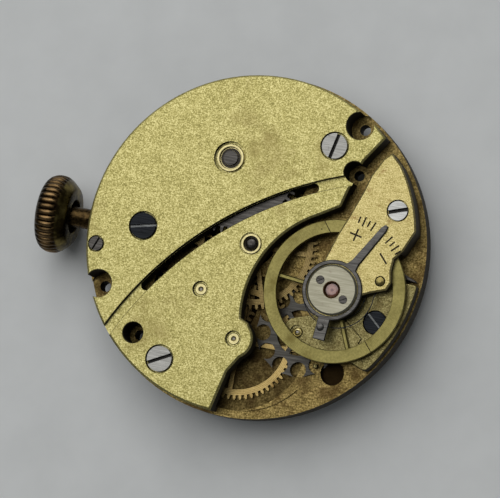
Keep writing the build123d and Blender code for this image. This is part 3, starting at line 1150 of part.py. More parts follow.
def crown_wheel_contrate(low, outer):
    step = FULL_TURN / CROWN_WHEEL_TEETH
    width = math.radians(step) * outer * CONTRATE_TOOTH_SHARE
    teeth = Part()
    for tooth in range(CROWN_WHEEL_TEETH):
        turn = CROWN_WHEEL_PHASE + tooth * step
        at = polar(outer - CONTRATE_W / 2, turn, CROWN_WHEEL)
        block = Pos(*at) * Rot(0, 0, turn) * Rectangle(CONTRATE_W, width)
        teeth += slab(block, low - CONTRATE_H, low)
    return teeth


def crown_wheel_core():
    low = core_low()
    body = disc(CORE_R, low, WINDING_CEILING, CROWN_WHEEL) + disc(CORE_FLANGE_R, low, low + CORE_FLANGE_T, CROWN_WHEEL)
    return body - disc(CROWN_SHANK_R + SEAT, low - OVER, WINDING_CEILING + OVER, CROWN_WHEEL)


def click_face(room, lift):
    """The pawl's outline: a round eye and a beak that leans into a gap of the ratchet wheel."""
    step = FULL_TURN / RATCHET_TEETH
    notch = RATCHET_PHASE + (round((CLICK_BEAK_TURN - RATCHET_PHASE) / step) + 1 / 2) * step
    module = 2 * RATCHET_PITCH / RATCHET_TEETH
    tip = polar(RATCHET_TIP - module / 2, notch, BARREL)
    way = bearing(CLICK_PIVOT, tip)
    reach = spread(CLICK_PIVOT, tip)
    corners = [(CLICK_R - LEVEL + room, way + QUARTER_TURN), (reach + room, way)]
    corners.append((CLICK_R - LEVEL + room, way - QUARTER_TURN))
    outline = [polar(radius, turn + lift, CLICK_PIVOT) for radius, turn in corners]
    return spot(CLICK_R + room, CLICK_PIVOT) + make_face(Polyline(*outline, close=True))


def click():
    low = SEAT_TOP + WINDING_FLOOR_GAP
    return slab(click_face(0, 0) - spot(CLICK_PIN_R + RUN, CLICK_PIVOT), low, low + CLICK_T)


def click_spring_foot():
    return polar(CLICK_SPRING_R, bearing(BARREL, CLICK_PIVOT) + CLICK_SPRING_SPAN, BARREL)


def click_spring_face(room):
    """The spring's outline: a curved blade from a round foot to the click's eye."""
    foot = click_spring_foot()
    end_turn = bearing(BARREL, CLICK_PIVOT) + math.degrees(CLICK_R / CLICK_SPRING_R)
    half = CLICK_SPRING_W / 2 + room
    ring = spot(CLICK_SPRING_R + half, BARREL) - spot(CLICK_SPRING_R - half, BARREL)
    sector = [BARREL] + [polar(2 * CLICK_SPRING_R, a, BARREL) for a in (end_turn, bearing(BARREL, foot))]
    return (ring & make_face(Polyline(*sector, close=True))) + spot(CLICK_SPRING_FOOT_R + room, foot)


def click_spring():
    """A curved blade that lies along the recess wall and presses the click's eye."""
    low = SEAT_TOP + WINDING_FLOOR_GAP
    foot = disc(CLICK_SPRING_FOOT_R, low, WINDING_CEILING, click_spring_foot())
    return slab(click_spring_face(0), low, low + CLICK_T) + foot


def along_stem(steps):
    """A turned piece on the stem's axis: steps of (radius, low x, high x) from the outside in."""
    points = [(steps[0][1], 0)]
    for radius, low, high in steps:
        points += [(low, radius), (high, radius)]
    points.append((steps[-1][2], 0))
    section = make_face(Plane.XZ * Polyline(*points, close=True))
    return Pos(0, 0, STEM_Z) * revolve(section, Axis.X)


def stem_gear(teeth, pitch, tip, length, x, phase):
    root = 2 * pitch - tip
    rings = [(root, -TOOTH_FLANK_SHARE), (tip, -TOOTH_TIP_SHARE), (tip, TOOTH_TIP_SHARE), (root, TOOTH_FLANK_SHARE)]
    face = toothed(teeth, rings, phase)
    return Pos(x, 0, STEM_Z) * Rot(0, QUARTER_TURN, 0) * extrude(face, amount=length)


def winding_pinion():
    tip = WINDING_PITCH + WINDING_PINION_TIP
    body = stem_gear(WINDING_TEETH, WINDING_PITCH, tip, WINDING_PINION_L, WINDING_PINION_X, HALF_TURN)
    return body - along_stem([(STEM_R + RUN, WINDING_PINION_X - OVER, CLUTCH_X + OVER)])


def clutch_bore():
    side = STEM_SQUARE + 2 * RUN
    return Pos((CLUTCH_X + KEYLESS_INNER_X) / 2, 0, STEM_Z) * Box(2 * (KEYLESS_INNER_X - CLUTCH_X), side, side)


def sliding_pinion():
    """The clutch: teeth at both ends and a groove for the yoke."""
    tooth_l = (CLUTCH_L - CLUTCH_NECK_W) / 2
    body = stem_gear(CLUTCH_TEETH, CLUTCH_R - WINDING_PINION_TIP, CLUTCH_R, CLUTCH_L, CLUTCH_X, HALF_TURN)
    neck = along_stem([(CLUTCH_R + OVER, CLUTCH_X + tooth_l, CLUTCH_X + tooth_l + CLUTCH_NECK_W)])
    neck -= along_stem([(CLUTCH_NECK_R, CLUTCH_X, CLUTCH_X + CLUTCH_L)])
    return body - neck - clutch_bore()


def winding_stem():
    groove_low = STEM_GROOVE_X - STEM_GROOVE_W / 2
    square_x = WINDING_PINION_X + WINDING_PINION_L + LEVEL
    body = along_stem([
        (STEM_R, CROWN_PIPE_X - OVER, groove_low), (STEM_GROOVE_R, groove_low, groove_low + STEM_GROOVE_W),
        (STEM_R, groove_low + STEM_GROOVE_W, square_x), (STEM_PILOT_R, square_x, STEM_PILOT_X - LEVEL),
    ])
    square_l = KEYLESS_INNER_X - LEVEL - square_x
    square = Box(square_l, STEM_SQUARE, STEM_SQUARE)
    return body + Pos(square_x + square_l / 2, 0, STEM_Z) * square


def crown():
    """A knurled crown with a domed end, a conical back and a pipe that screws on the stem."""
    band_end = CROWN_END_X + CROWN_DOME + CROWN_BAND_L
    body = along_stem([(CROWN_R - CROWN_RIDGE_H, CROWN_END_X + CROWN_DOME, band_end)])
    step = FULL_TURN / CROWN_RIDGES
    rings = [(CROWN_R - CROWN_RIDGE_H, -TOOTH_FLANK_SHARE), (CROWN_R, -TOOTH_TIP_SHARE),
             (CROWN_R, TOOTH_TIP_SHARE), (CROWN_R - CROWN_RIDGE_H, TOOTH_FLANK_SHARE)]
    knurl = toothed(CROWN_RIDGES, rings, step / 2)
    band = Rot(0, QUARTER_TURN, 0) * extrude(knurl, amount=CROWN_BAND_L - 2 * LEVEL)
    body += Pos(CROWN_END_X + CROWN_DOME + LEVEL, 0, STEM_Z) * band
    profile = [
        Line((CROWN_END_X + CROWN_DOME, 0), (CROWN_END_X + CROWN_DOME, CROWN_R - CROWN_RIDGE_H)),
        ThreePointArc((CROWN_END_X + CROWN_DOME, CROWN_R - CROWN_RIDGE_H),
                      (CROWN_END_X + CROWN_DOME / 4, CROWN_R / 2), (CROWN_END_X, 0)),
        Line((CROWN_END_X, 0), (CROWN_END_X + CROWN_DOME, 0)),
    ]
    body += Pos(0, 0, STEM_Z) * revolve(Plane.XZ * make_face(profile), Axis.X)
    cone = [(band_end - LEVEL, 0), (band_end - LEVEL, CROWN_R - CROWN_RIDGE_H), (CROWN_FACE_X, CROWN_CONE_R)]
    cone.append((CROWN_FACE_X, 0))
    body += Pos(0, 0, STEM_Z) * revolve(make_face(Plane.XZ * Polyline(*cone, close=True)), Axis.X)
    body -= along_stem([(CROWN_HOLLOW_R, CROWN_FACE_X - CROWN_HOLLOW_DEPTH, CROWN_FACE_X + OVER)])
    body += along_stem([(CROWN_PIPE_R, CROWN_FACE_X - CROWN_HOLLOW_DEPTH - LEVEL, CROWN_PIPE_X)])
    return body - along_stem([(STEM_R + SEAT, CROWN_PIPE_X - OVER, CROWN_PIPE_X + OVER)])


def lever_level():
    return COVER_PLATE_T + LEVEL


def setting_lever():
    low = lever_level()
    face = lever_face(0, 0) - spot(LEVER_SHANK_R + RUN, LEVER_SCREW)
    stud_top = STEM_Z - STEM_GROOVE_R - LEVEL
    return slab(face, low, low + LEVER_T) + disc(LEVER_STUD_R, low, stud_top, (STEM_GROOVE_X, 0))


def yoke():
    """The lever that shifts the clutch: an eye on its stud and a nose in the clutch's groove."""
    low = lever_level()
    face = yoke_face(0, 0) - spot(YOKE_PIVOT_R + RUN, YOKE_PIVOT)
    radius = CLUTCH_NECK_W / 2 - YOKE_NOSE_ROOM
    return slab(face, low, low + LEVER_T) + disc(radius, low, STEM_Z, yoke_nose())


def yoke_spring():
    low = lever_level()
    return slab(yoke_spring_face(0), low, low + LEVER_T) + disc(YOKE_SPRING_W, low, MOTION_DEPTH, YOKE_SPRING_FOOT)


def setting_cover():
    body = slab(cover_face(0), 0, COVER_PLATE_T)
    for at in COVER_SCREWS:
        body -= disc(COVER_SCREW_SHANK_R + SEAT, -OVER, OVER, at)
        body -= disc(COVER_SCREW_HEAD_R + SEAT, -OVER, COVER_PLATE_T / 2, at)
    return body


def cover_screws():
    pieces = []
    for at in COVER_SCREWS:
        body = disc(COVER_SCREW_HEAD_R, 0, COVER_PLATE_T / 2, at)
        body += disc(COVER_SCREW_SHANK_R, 0, COVER_SCREW_L, at)
        saw = Box(2 * COVER_SCREW_HEAD_R + OVER, SLOT_CUT_W, COVER_PLATE_T / 2)
        pieces.append(body - Pos(at[0], at[1], 0) * Rot(0, 0, QUARTER_TURN / 2) * saw)
    return Compound(children=pieces)


def setting_wheel():
    low = lever_level()
    face = toothed(SETTING_TEETH, wheel_rings(SETTING_PITCH, SETTING_TEETH), SETTING_PHASE, SETTING)
    return slab(face - spot(SETTING_STUD_R + RUN, SETTING), low, low + MINUTE_T)


def minute_wheel():
    low = lever_level()
    face = toothed(MINUTE_TEETH, wheel_rings(MINUTE_PITCH, MINUTE_TEETH), MINUTE_PHASE, MINUTE)
    body = slab(face, low, low + MINUTE_T) + pinion(MINUTE_LEAF_PITCH, MINUTE_LEAVES, 0, LEVEL, low, MINUTE)
    return body - disc(MINUTE_STUD_R + RUN, -OVER, BRIDGE_TOP, MINUTE)


def cannon_pinion():
    low = lever_level()
    body = disc(MINUTE_POST_R, CANNON_TIP_Z, HOUR_TIP_Z) + disc(CANNON_PIPE_R, HOUR_TIP_Z, low - LEVEL / 2)
    body += pinion(CANNON_PITCH, CANNON_LEAVES, 0, low - LEVEL, low + MINUTE_T, CENTRE)
    return body - disc(CANNON_BORE_R, CANNON_TIP_Z - OVER, BRIDGE_TOP)


def hour_wheel():
    face = toothed(HOUR_TEETH, wheel_rings(HOUR_PITCH, HOUR_TEETH), HOUR_PHASE, CENTRE)
    body = slab(face, LEVEL, LEVEL + HOUR_T - LEVEL) + disc(HOUR_PIPE_R, HOUR_TIP_Z, 2 * LEVEL)
    return body - disc(CANNON_PIPE_R + RUN, HOUR_TIP_Z - OVER, BRIDGE_TOP)


def write(name, shape):
    export_step(shape, os.path.join("parts", name + ".step"))


PIECES = [
    mainplate, three_quarter_bridge, balance_cock, escape_cock, pivot_bushes, bridge_screws,
    crown_wheel_screw, setting_lever_screw, balance_cock_screw, escape_cock_screw, cap_plate,
    cap_screws, cap_jewel, hole_jewels, regulator_index, regulator_pins, hairspring, hairspring_stud,
    hairspring_collet, balance_wheel, balance_cylinder, escape_wheel, escape_pinion, fourth_wheel,
    fourth_pinion, third_wheel, third_pinion, centre_wheel, centre_pinion, barrel_drum, barrel_cover,
    mainspring, barrel_arbor, ratchet_wheel, crown_wheel, crown_wheel_core, click, click_spring,
    winding_pinion, sliding_pinion, winding_stem, crown, setting_lever, yoke, yoke_spring,
    setting_cover, cover_screws, setting_wheel, minute_wheel, cannon_pinion, hour_wheel,
]

os.makedirs("parts", exist_ok=True)
for piece in PIECES:
    write(piece.__name__, piece())
print("least gap of the hairspring to itself, mm:", least_gap(*HAIRSPRING_COURSE))
print("least gap of the mainspring to itself, mm:", least_gap(*MAINSPRING_COURSE))
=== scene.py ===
from math import atan2, cos, degrees, pi, radians, sin

import bmesh
import bpy
from mathutils import Matrix, Vector


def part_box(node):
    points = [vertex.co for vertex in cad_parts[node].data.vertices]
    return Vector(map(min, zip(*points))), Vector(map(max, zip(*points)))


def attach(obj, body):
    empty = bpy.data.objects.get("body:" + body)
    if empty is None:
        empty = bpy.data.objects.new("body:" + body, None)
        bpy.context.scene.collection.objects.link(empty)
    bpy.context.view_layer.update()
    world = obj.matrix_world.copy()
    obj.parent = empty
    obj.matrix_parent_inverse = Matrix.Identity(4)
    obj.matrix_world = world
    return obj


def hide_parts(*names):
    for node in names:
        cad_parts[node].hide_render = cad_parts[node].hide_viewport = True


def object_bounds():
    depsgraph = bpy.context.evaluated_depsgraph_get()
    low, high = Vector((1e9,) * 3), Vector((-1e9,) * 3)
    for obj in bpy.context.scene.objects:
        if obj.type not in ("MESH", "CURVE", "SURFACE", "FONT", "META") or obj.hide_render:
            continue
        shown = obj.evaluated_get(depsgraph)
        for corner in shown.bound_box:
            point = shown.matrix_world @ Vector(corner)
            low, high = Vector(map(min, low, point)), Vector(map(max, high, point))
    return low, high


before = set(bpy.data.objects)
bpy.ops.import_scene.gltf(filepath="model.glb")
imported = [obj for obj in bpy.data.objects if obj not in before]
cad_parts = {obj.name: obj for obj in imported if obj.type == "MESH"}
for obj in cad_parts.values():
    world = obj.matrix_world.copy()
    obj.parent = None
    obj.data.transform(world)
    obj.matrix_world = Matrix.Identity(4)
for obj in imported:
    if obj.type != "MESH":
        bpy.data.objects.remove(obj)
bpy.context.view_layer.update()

# Lengths are in millimetres, and mm() or MM turns them to metres.
MM = 0.001
# Corners nearer than this are one, and heights that differ by less than this are the same.
WELD = 0.0005 * MM
LEVEL = 0.001
# An edge is sharp past this turn, and faces within this turn of each other are one flat.
SHARP_TURN = radians(32)
SAME_FLAT = radians(0.5)
# A face is level where the share of its normal that points up or down is above this.
LEVEL_SHARE = 0.999

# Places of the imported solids.
CENTRE = (0.0, 0.0)
BARREL = (-2.83, 6.15)
THIRD = (-3.19, -3.98)
FOURTH = (0.0, -7.22)
ESCAPE = (4.49, -5.85)
BALANCE = (6.84, -2.45)
CROWN_WHEEL = (-8.49, 0.0)
SETTING_SCREW = (-11.86, -1.92)
COCK_SCREW = (10.60, 4.17)
ESCAPE_SCREW = (10.20, -4.20)
BLIND_RECESS = (7.50, -8.40)

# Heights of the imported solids, up from the dial's seat.
STEM_Z = 1.40
PLATE_TOP = 1.70
ESCAPE_COCK_TOP = 2.62
RIM_LOW, RIM_TOP = 2.82, 3.24
BRIDGE_TOP = 3.60
COCK_TOP = 3.90
INDEX_LOW, INDEX_TOP = 3.925, 4.10
CAP_TOP = 4.20

# The way that the regulator points, in degrees.
POINTER = 59.2


def mm(x, y, z):
    """A place in millimetres as one in metres."""
    return Vector((x, y, z)) * MM


def polar(reach, turn, about=CENTRE):
    """The place at a reach in millimetres and a turn in degrees about an axis."""
    return about[0] + reach * cos(radians(turn)), about[1] + reach * sin(radians(turn))


def linear(hex_colour):
    """An sRGB hex colour as linear red, green, blue and alpha."""
    shares = [int(hex_colour[i:i + 2], 16) / 255 for i in (1, 3, 5)]
    return [s / 12.92 if s <= 0.04045 else ((s + 0.055) / 1.055) ** 2.4 for s in shares] + [1.0]


def add(tree, kind, inputs=None, stops=(), **settings):
    """One node with its settings, its ramp's stops, and each input given a value or a node."""
    made = tree.nodes.new(kind)
    for name, value in settings.items():
        setattr(made, name, value)
    for number, (share, colour) in enumerate(stops):
        elements = made.color_ramp.elements
        stop = elements[number] if number < len(elements) else elements.new(share)
        stop.position = share
        stop.color = linear(colour)
    for name, value in (inputs or {}).items():
        if isinstance(value, bpy.types.Node):
            value = next(output for output in value.outputs if output.enabled)
        if isinstance(value, bpy.types.NodeSocket):
            tree.links.new(value, made.inputs[name])
        else:
            made.inputs[name].default_value = value
    return made


def new_finish(name):
    """An empty finish, and the place on the piece in millimetres to hang its patterns on."""
    finish = bpy.data.materials.new(name)
    finish.use_nodes = True
    tree = finish.node_tree
    tree.nodes.clear()
    whole = add(tree, "ShaderNodeTexCoord").outputs["Object"]
    return finish, tree, add(tree, "ShaderNodeMapping", {"Vector": whole, "Scale": (1 / MM,) * 3})


# Frosting is pitted at 0.02 to 0.04 mm and brushed at about 0.01 mm. Both are too fine to show,
# so the grain is drawn three to four times as coarse, and the strokes about six times.
POINT_SHARE, STROKE_SHARE, PATCH_SHARE = 0.72, 0.16, 0.12
PATCHES_PER_GRAIN = 0.2
BRUSH_WAY = radians(42)
STROKE_STRETCH = (1 / 14, 1, 0.3)
# Grain at which the gilt shows its dull, its middle and its bright tone.
TONE_STOPS = (0.39, 0.50, 0.61)


def frosted_gilt(name, tones, shaded_wall, stain, grain, brush, stain_size, stain_from, rough, relief,
                 floor=None):
    """Frosted gilt brass: bright and dull points, faint brushing and stains, with painted shade:
    walls painted near black, and, where a floor is given, wells painted darker towards the bottom.
    """
    finish, tree, place = new_finish(name)
    points = add(tree, "ShaderNodeTexNoise", {
        "Vector": place, "Scale": 1 / grain, "Detail": 3.0, "Roughness": 0.7})
    patches = add(tree, "ShaderNodeTexNoise", {
        "Vector": place, "Scale": PATCHES_PER_GRAIN / grain, "Detail": 3.0})
    along = add(tree, "ShaderNodeMapping", {
        "Vector": place, "Rotation": (0, 0, BRUSH_WAY), "Scale": STROKE_STRETCH})
    strokes = add(tree, "ShaderNodeTexNoise", {"Vector": along, "Scale": 1 / brush, "Detail": 2.0})
    grained = 0.0
    for pattern, share in ((patches, PATCH_SHARE), (strokes, STROKE_SHARE), (points, POINT_SHARE)):
        grained = add(tree, "ShaderNodeMath", {0: pattern, 1: share, 2: grained},
                      operation="MULTIPLY_ADD")
    bright = add(tree, "ShaderNodeValToRGB", {"Fac": grained}, zip(TONE_STOPS, tones))
    cloud = add(tree, "ShaderNodeTexNoise", {
        "Vector": place, "Scale": 1 / stain_size, "Detail": 5.0, "Roughness": 0.62})
    stained = add(tree, "ShaderNodeMapRange", {
        "Value": cloud, "From Min": stain_from, "From Max": stain_from + 0.16, "To Max": 0.75})
    skin = add(tree, "ShaderNodeMix", {"Factor": stained, 6: bright, 7: linear(stain)},
               data_type="RGBA")
    # Painted shade: below a given height the gilt blends into a near-black tone, darkest at the
    # bottom of the wells.
    if floor:
        well_shade_tone, floor_low, floor_high = floor
        height = add(tree, "ShaderNodeSeparateXYZ", {"Vector": place}).outputs["Z"]
        sunk = add(tree, "ShaderNodeMapRange", {
            "Value": height, "From Min": floor_low, "From Max": floor_high})
        skin = add(tree, "ShaderNodeMix", {"Factor": sunk, 6: linear(well_shade_tone), 7: skin},
                   data_type="RGBA")
    # Painted shade: faces that turn away from straight up take the near-black wall tone in place
    # of the gilt.
    normal = add(tree, "ShaderNodeTexCoord").outputs["Normal"]
    upward = add(tree, "ShaderNodeSeparateXYZ", {"Vector": normal}).outputs["Z"]
    on_top = add(tree, "ShaderNodeMapRange", {"Value": upward, "From Min": 0.35, "From Max": 0.85})
    colour = add(tree, "ShaderNodeMix", {"Factor": on_top, 6: linear(shaded_wall), 7: skin},
                 data_type="RGBA")
    gloss = add(tree, "ShaderNodeMapRange", {
        "Value": grained, "From Min": 0.4, "From Max": 0.6,
        "To Min": rough + 0.08, "To Max": rough - 0.06})
    matt = add(tree, "ShaderNodeMix", {"Factor": on_top, 2: 0.75, 3: gloss})
    bare = add(tree, "ShaderNodeMapRange", {"Value": on_top, "To Min": 0.25, "To Max": 1.0})
    bump = add(tree, "ShaderNodeBump", {
        "Height": grained, "Strength": 0.6, "Distance": relief * MM})
    shader = add(tree, "ShaderNodeBsdfPrincipled", {
        "Base Color": colour, "Metallic": bare, "Roughness": matt, "Normal": bump})
    add(tree, "ShaderNodeOutputMaterial", {"Surface": shader})
    return finish


# Turning marks lie about 0.02 mm apart, too fine to show, so the rings are drawn 0.05 to 0.12 mm
# apart. A wave texture's rings lie a tenth of pi apart at a scale of 1. The mottling between the
# rings is about 0.14 mm wide, and the tarnish comes in clouds of about 1.4 mm.
WAVE_PITCH = pi / 10


def turned_metal(name, light, dark, centre, ring, rough, stain, relief=0.003, stain_from=0.56):
    """Metal turned on a lathe: fine rings about its own axis, a little tarnish between them."""
    finish, tree, place = new_finish(name)
    centred = add(tree, "ShaderNodeMapping", {
        "Vector": place, "Location": (-centre[0], -centre[1], 0)})
    rings = add(tree, "ShaderNodeTexWave", {
        "Vector": centred, "Scale": WAVE_PITCH / ring, "Distortion": 1.2, "Detail": 2.0},
        wave_type="RINGS", rings_direction="Z")
    grain = add(tree, "ShaderNodeTexNoise", {"Vector": place, "Scale": 7.0, "Detail": 4.0})
    cloud = add(tree, "ShaderNodeTexNoise", {"Vector": place, "Scale": 0.7, "Detail": 5.0})
    faint = add(tree, "ShaderNodeMath", {0: rings.outputs["Fac"], 1: 0.25, 2: 0.12},
                operation="MULTIPLY_ADD")
    marks = add(tree, "ShaderNodeMath", {0: grain, 1: 0.5, 2: faint}, operation="MULTIPLY_ADD")
    bright = add(tree, "ShaderNodeValToRGB", {"Fac": marks}, [(0.34, dark), (0.66, light)])
    stained = add(tree, "ShaderNodeMapRange", {
        "Value": cloud, "From Min": stain_from, "From Max": stain_from + 0.15, "To Max": 0.7})
    colour = add(tree, "ShaderNodeMix", {"Factor": stained, 6: bright, 7: linear(stain)},
                 data_type="RGBA")
    bump = add(tree, "ShaderNodeBump", {
        "Height": marks, "Strength": 0.4, "Distance": relief * MM})
    gloss = add(tree, "ShaderNodeMapRange", {
        "Value": cloud, "From Min": 0.3, "From Max": 0.7,
        "To Min": rough - 0.07, "To Max": rough + 0.1})
    shader = add(tree, "ShaderNodeBsdfPrincipled", {
        "Base Color": colour, "Metallic": 1.0, "Roughness": gloss, "Normal": bump})
    add(tree, "ShaderNodeOutputMaterial", {"Surface": shader})
    return finish


# Hairlines left by grinding are a few thousandths of a millimetre wide, too fine to show, so they
# are drawn 0.05 to 0.08 mm wide. Two sets of them cross. Rust freckles are about 0.4 mm wide.
HAIR_CROSSING = 71
HAIR_STRETCH = (1 / 26, 1, 1 / 26)


def polished_steel(name, light, dark, rough, scratch, turn, relief=0.002, stain="#3A3630",
                   stain_from=0.62):
    """Hardened steel, ground and polished: crossing hairlines, a few rust freckles."""
    finish, tree, place = new_finish(name)
    hairs = []
    for lean in (turn, turn + HAIR_CROSSING):
        along = add(tree, "ShaderNodeMapping", {
            "Vector": place, "Rotation": (0, 0, radians(lean)), "Scale": HAIR_STRETCH})
        hairs.append(add(tree, "ShaderNodeTexNoise", {
            "Vector": along, "Scale": 1 / scratch, "Detail": 2.0}))
    marks = 0.0
    for hair, share in zip(hairs, (0.7, 0.3)):
        marks = add(tree, "ShaderNodeMath", {0: hair, 1: share, 2: marks},
                    operation="MULTIPLY_ADD")
    bright = add(tree, "ShaderNodeValToRGB", {"Fac": marks}, [(0.28, dark), (0.72, light)])
    cloud = add(tree, "ShaderNodeTexNoise", {
        "Vector": place, "Scale": 2.4, "Detail": 5.0, "Roughness": 0.65})
    freckle = add(tree, "ShaderNodeMapRange", {
        "Value": cloud, "From Min": stain_from, "From Max": stain_from + 0.1, "To Max": 0.8})
    colour = add(tree, "ShaderNodeMix", {"Factor": freckle, 6: bright, 7: linear(stain)},
                 data_type="RGBA")
    bump = add(tree, "ShaderNodeBump", {
        "Height": marks, "Strength": 0.3, "Distance": relief * MM})
    gloss = add(tree, "ShaderNodeMapRange", {
        "Value": marks, "From Min": 0.36, "From Max": 0.64,
        "To Min": rough + 0.06, "To Max": rough - 0.05})
    shader = add(tree, "ShaderNodeBsdfPrincipled", {
        "Base Color": colour, "Metallic": 1.0, "Roughness": gloss, "Normal": bump})
    add(tree, "ShaderNodeOutputMaterial", {"Surface": shader})
    return finish


# Frosted gilt of the bridge: greenish yellow, sparkling in points a tenth of a millimetre wide.
bridge_gilt = frosted_gilt(
    "frosted_gilt", ("#968D52", "#BCB26F", "#E0D698"), shaded_wall="#2C2614", stain="#968852",
    grain=0.11, brush=0.06, stain_size=5.0, stain_from=0.56, rough=0.42, relief=0.012)
# The cock's gilt is rubbed smoother and warmer by handling, with brown spots.
cock_gilt = frosted_gilt(
    "rubbed_gilt", ("#98884E", "#BFB072", "#DACB92"), shaded_wall="#2E2716", stain="#8C6640",
    grain=0.10, brush=0.06, stain_size=1.3, stain_from=0.58, rough=0.36, relief=0.008)
# The plate is the same gilt gone brown under old oil, blotched at about a millimetre and a half,
# and painted nearly black in its wells as painted shade.
plate_gilt = frosted_gilt(
    "stained_and_shaded_gilt", ("#5E4E2C", "#8A7846", "#B49C64"), shaded_wall="#2A2212", stain="#4E3B20",
    grain=0.14, brush=0.08, stain_size=1.5, stain_from=0.47, rough=0.42, relief=0.010,
    floor=("#241B0E", 1.14, 1.62))
# The escape cock kept a paler, greyer gilt than the plate around it.
low_cock_gilt = frosted_gilt(
    "grey_gilt", ("#5C5432", "#7E7449", "#A69C6C"), shaded_wall="#2A2212", stain="#544628",
    grain=0.10, brush=0.06, stain_size=1.6, stain_from=0.56, rough=0.38, relief=0.008)
# Wheel brass, each turned about its own arbor: the rings show as a silky sheen.
fourth_brass = turned_metal("fourth_wheel_brass", "#C4AA70", "#96804C", FOURTH,
                            ring=0.12, rough=0.36, stain="#7A5A2E")
third_brass = turned_metal("third_wheel_brass", "#907C52", "#625234", THIRD,
                           ring=0.12, rough=0.40, stain="#4C3A20")
centre_brass = turned_metal("centre_wheel_brass", "#9C8858", "#685838", CENTRE,
                            ring=0.12, rough=0.40, stain="#4A371C", stain_from=0.5)
barrel_brass = turned_metal("barrel_brass", "#8E7E4C", "#5E5230", BARREL,
                            ring=0.12, rough=0.40, stain="#3C3018")
motion_brass = turned_metal("motion_work_brass", "#D8BC78", "#98804C", CENTRE,
                            ring=0.12, rough=0.33, stain="#6A522A")
# The balance rim is satin olive brass with a thin oil film.
balance_brass = turned_metal("satin_balance_brass", "#A0965C", "#787040", BALANCE,
                             ring=0.09, rough=0.40, stain="#766A38", relief=0.005)
# Pressed bushes are pale brass, each turned about its own hole, the brightest rings on the bridge.
BUSH_PLACES = {
    "barrel": BARREL, "centre": CENTRE, "third": THIRD, "fourth": FOURTH, "escape": ESCAPE}
bush_brasses = [
    turned_metal(f"{where}_bush_brass", "#E2D6A0", "#B4A874", place, ring=0.06, rough=0.30,
                 stain="#968258", relief=0.002, stain_from=0.60)
    for where, place in BUSH_PLACES.items()]
# The stud's plug is brass gone brown, with a soft shine.
plug_brass = turned_metal("brown_plug_brass", "#AE9E62", "#766A3A", BALANCE,
                          ring=0.08, rough=0.32, stain="#5A4426")
# Dark bronze of the end stone's setting.
setting_bronze = turned_metal("dark_setting_bronze", "#6A5238", "#33261A", BALANCE,
                              ring=0.05, rough=0.30, stain="#241A10")
# Screw steel, straight-grained by a file, with a dull grey shine.
screw_steel = polished_steel("filed_screw_steel", "#A6A5A0", "#7E7D78",
                             rough=0.30, scratch=0.07, turn=20)
# Polished steel, the brightest metal of the watch.
bright_steel = polished_steel("polished_steel", "#C0C0BC", "#92928E",
                              rough=0.26, scratch=0.06, turn=-15)
# Blued steel is nearly black until a light catches it, then a deep navy.
blued_steel = polished_steel("blued_steel", "#282A2D", "#131416",
                             rough=0.26, scratch=0.07, turn=40, stain="#100E10")
# Grey pinion steel, burnished on its leaves.
pinion_steel = polished_steel("burnished_pinion_steel", "#9A968F", "#4A4743",
                              rough=0.30, scratch=0.06, turn=0, stain="#2A2420")
# The escape wheel is thin hardened steel, painted a dark grey, darker than the other steel as
# painted shade where it lies under the balance.
escape_steel_shaded = polished_steel("shaded_escape_steel", "#5A5853", "#3E3C38",
                              rough=0.38, scratch=0.08, turn=30, stain="#39352E")
# The cap plate is fine-grained white steel, warm grey.
cap_steel = polished_steel("grained_cap_steel", "#B3AF9B", "#99957F", rough=0.42, scratch=0.06,
                           turn=10, stain="#978C7C", stain_from=0.60)
# The regulator's polish has gone to a dark grey skin, brushed along the pointer.
regulator_steel = polished_steel("darkened_regulator_steel", "#6E6C68", "#444240", rough=0.34,
                                 scratch=0.07, turn=-59, relief=0.004, stain="#38302C",
                                 stain_from=0.58)
# Small dark screw heads and pins, oxidised brown black.
dark_steel = polished_steel("oxidised_steel", "#615E5A", "#2A2826",
                            rough=0.30, scratch=0.06, turn=0, stain="#241C16")
# Spring steel tempered nearly black blue.
spring_steel = polished_steel("tempered_spring_steel", "#2E323C", "#14161C",
                              rough=0.34, scratch=0.05, turn=0)
# Light grey steel in the slots of the blued screws: a painted reflection of the light that the
# slot's edges catch.
slot_glint_steel = polished_steel("painted_slot_glint", "#7C7E7C", "#4E5050",
                            rough=0.32, scratch=0.06, turn=10)

# Where the crown's ridge tops lie, bared by wear and painted lighter as painted highlight, where
# its cone starts, and where its pipe ends.
RIDGE_TOP_FROM, RIDGE_TOP_TO = 2.84, 2.99
CONE_FROM, CONE_TO = -15.34, -15.22
PIPE_R, CONE_R = 1.28, 1.34


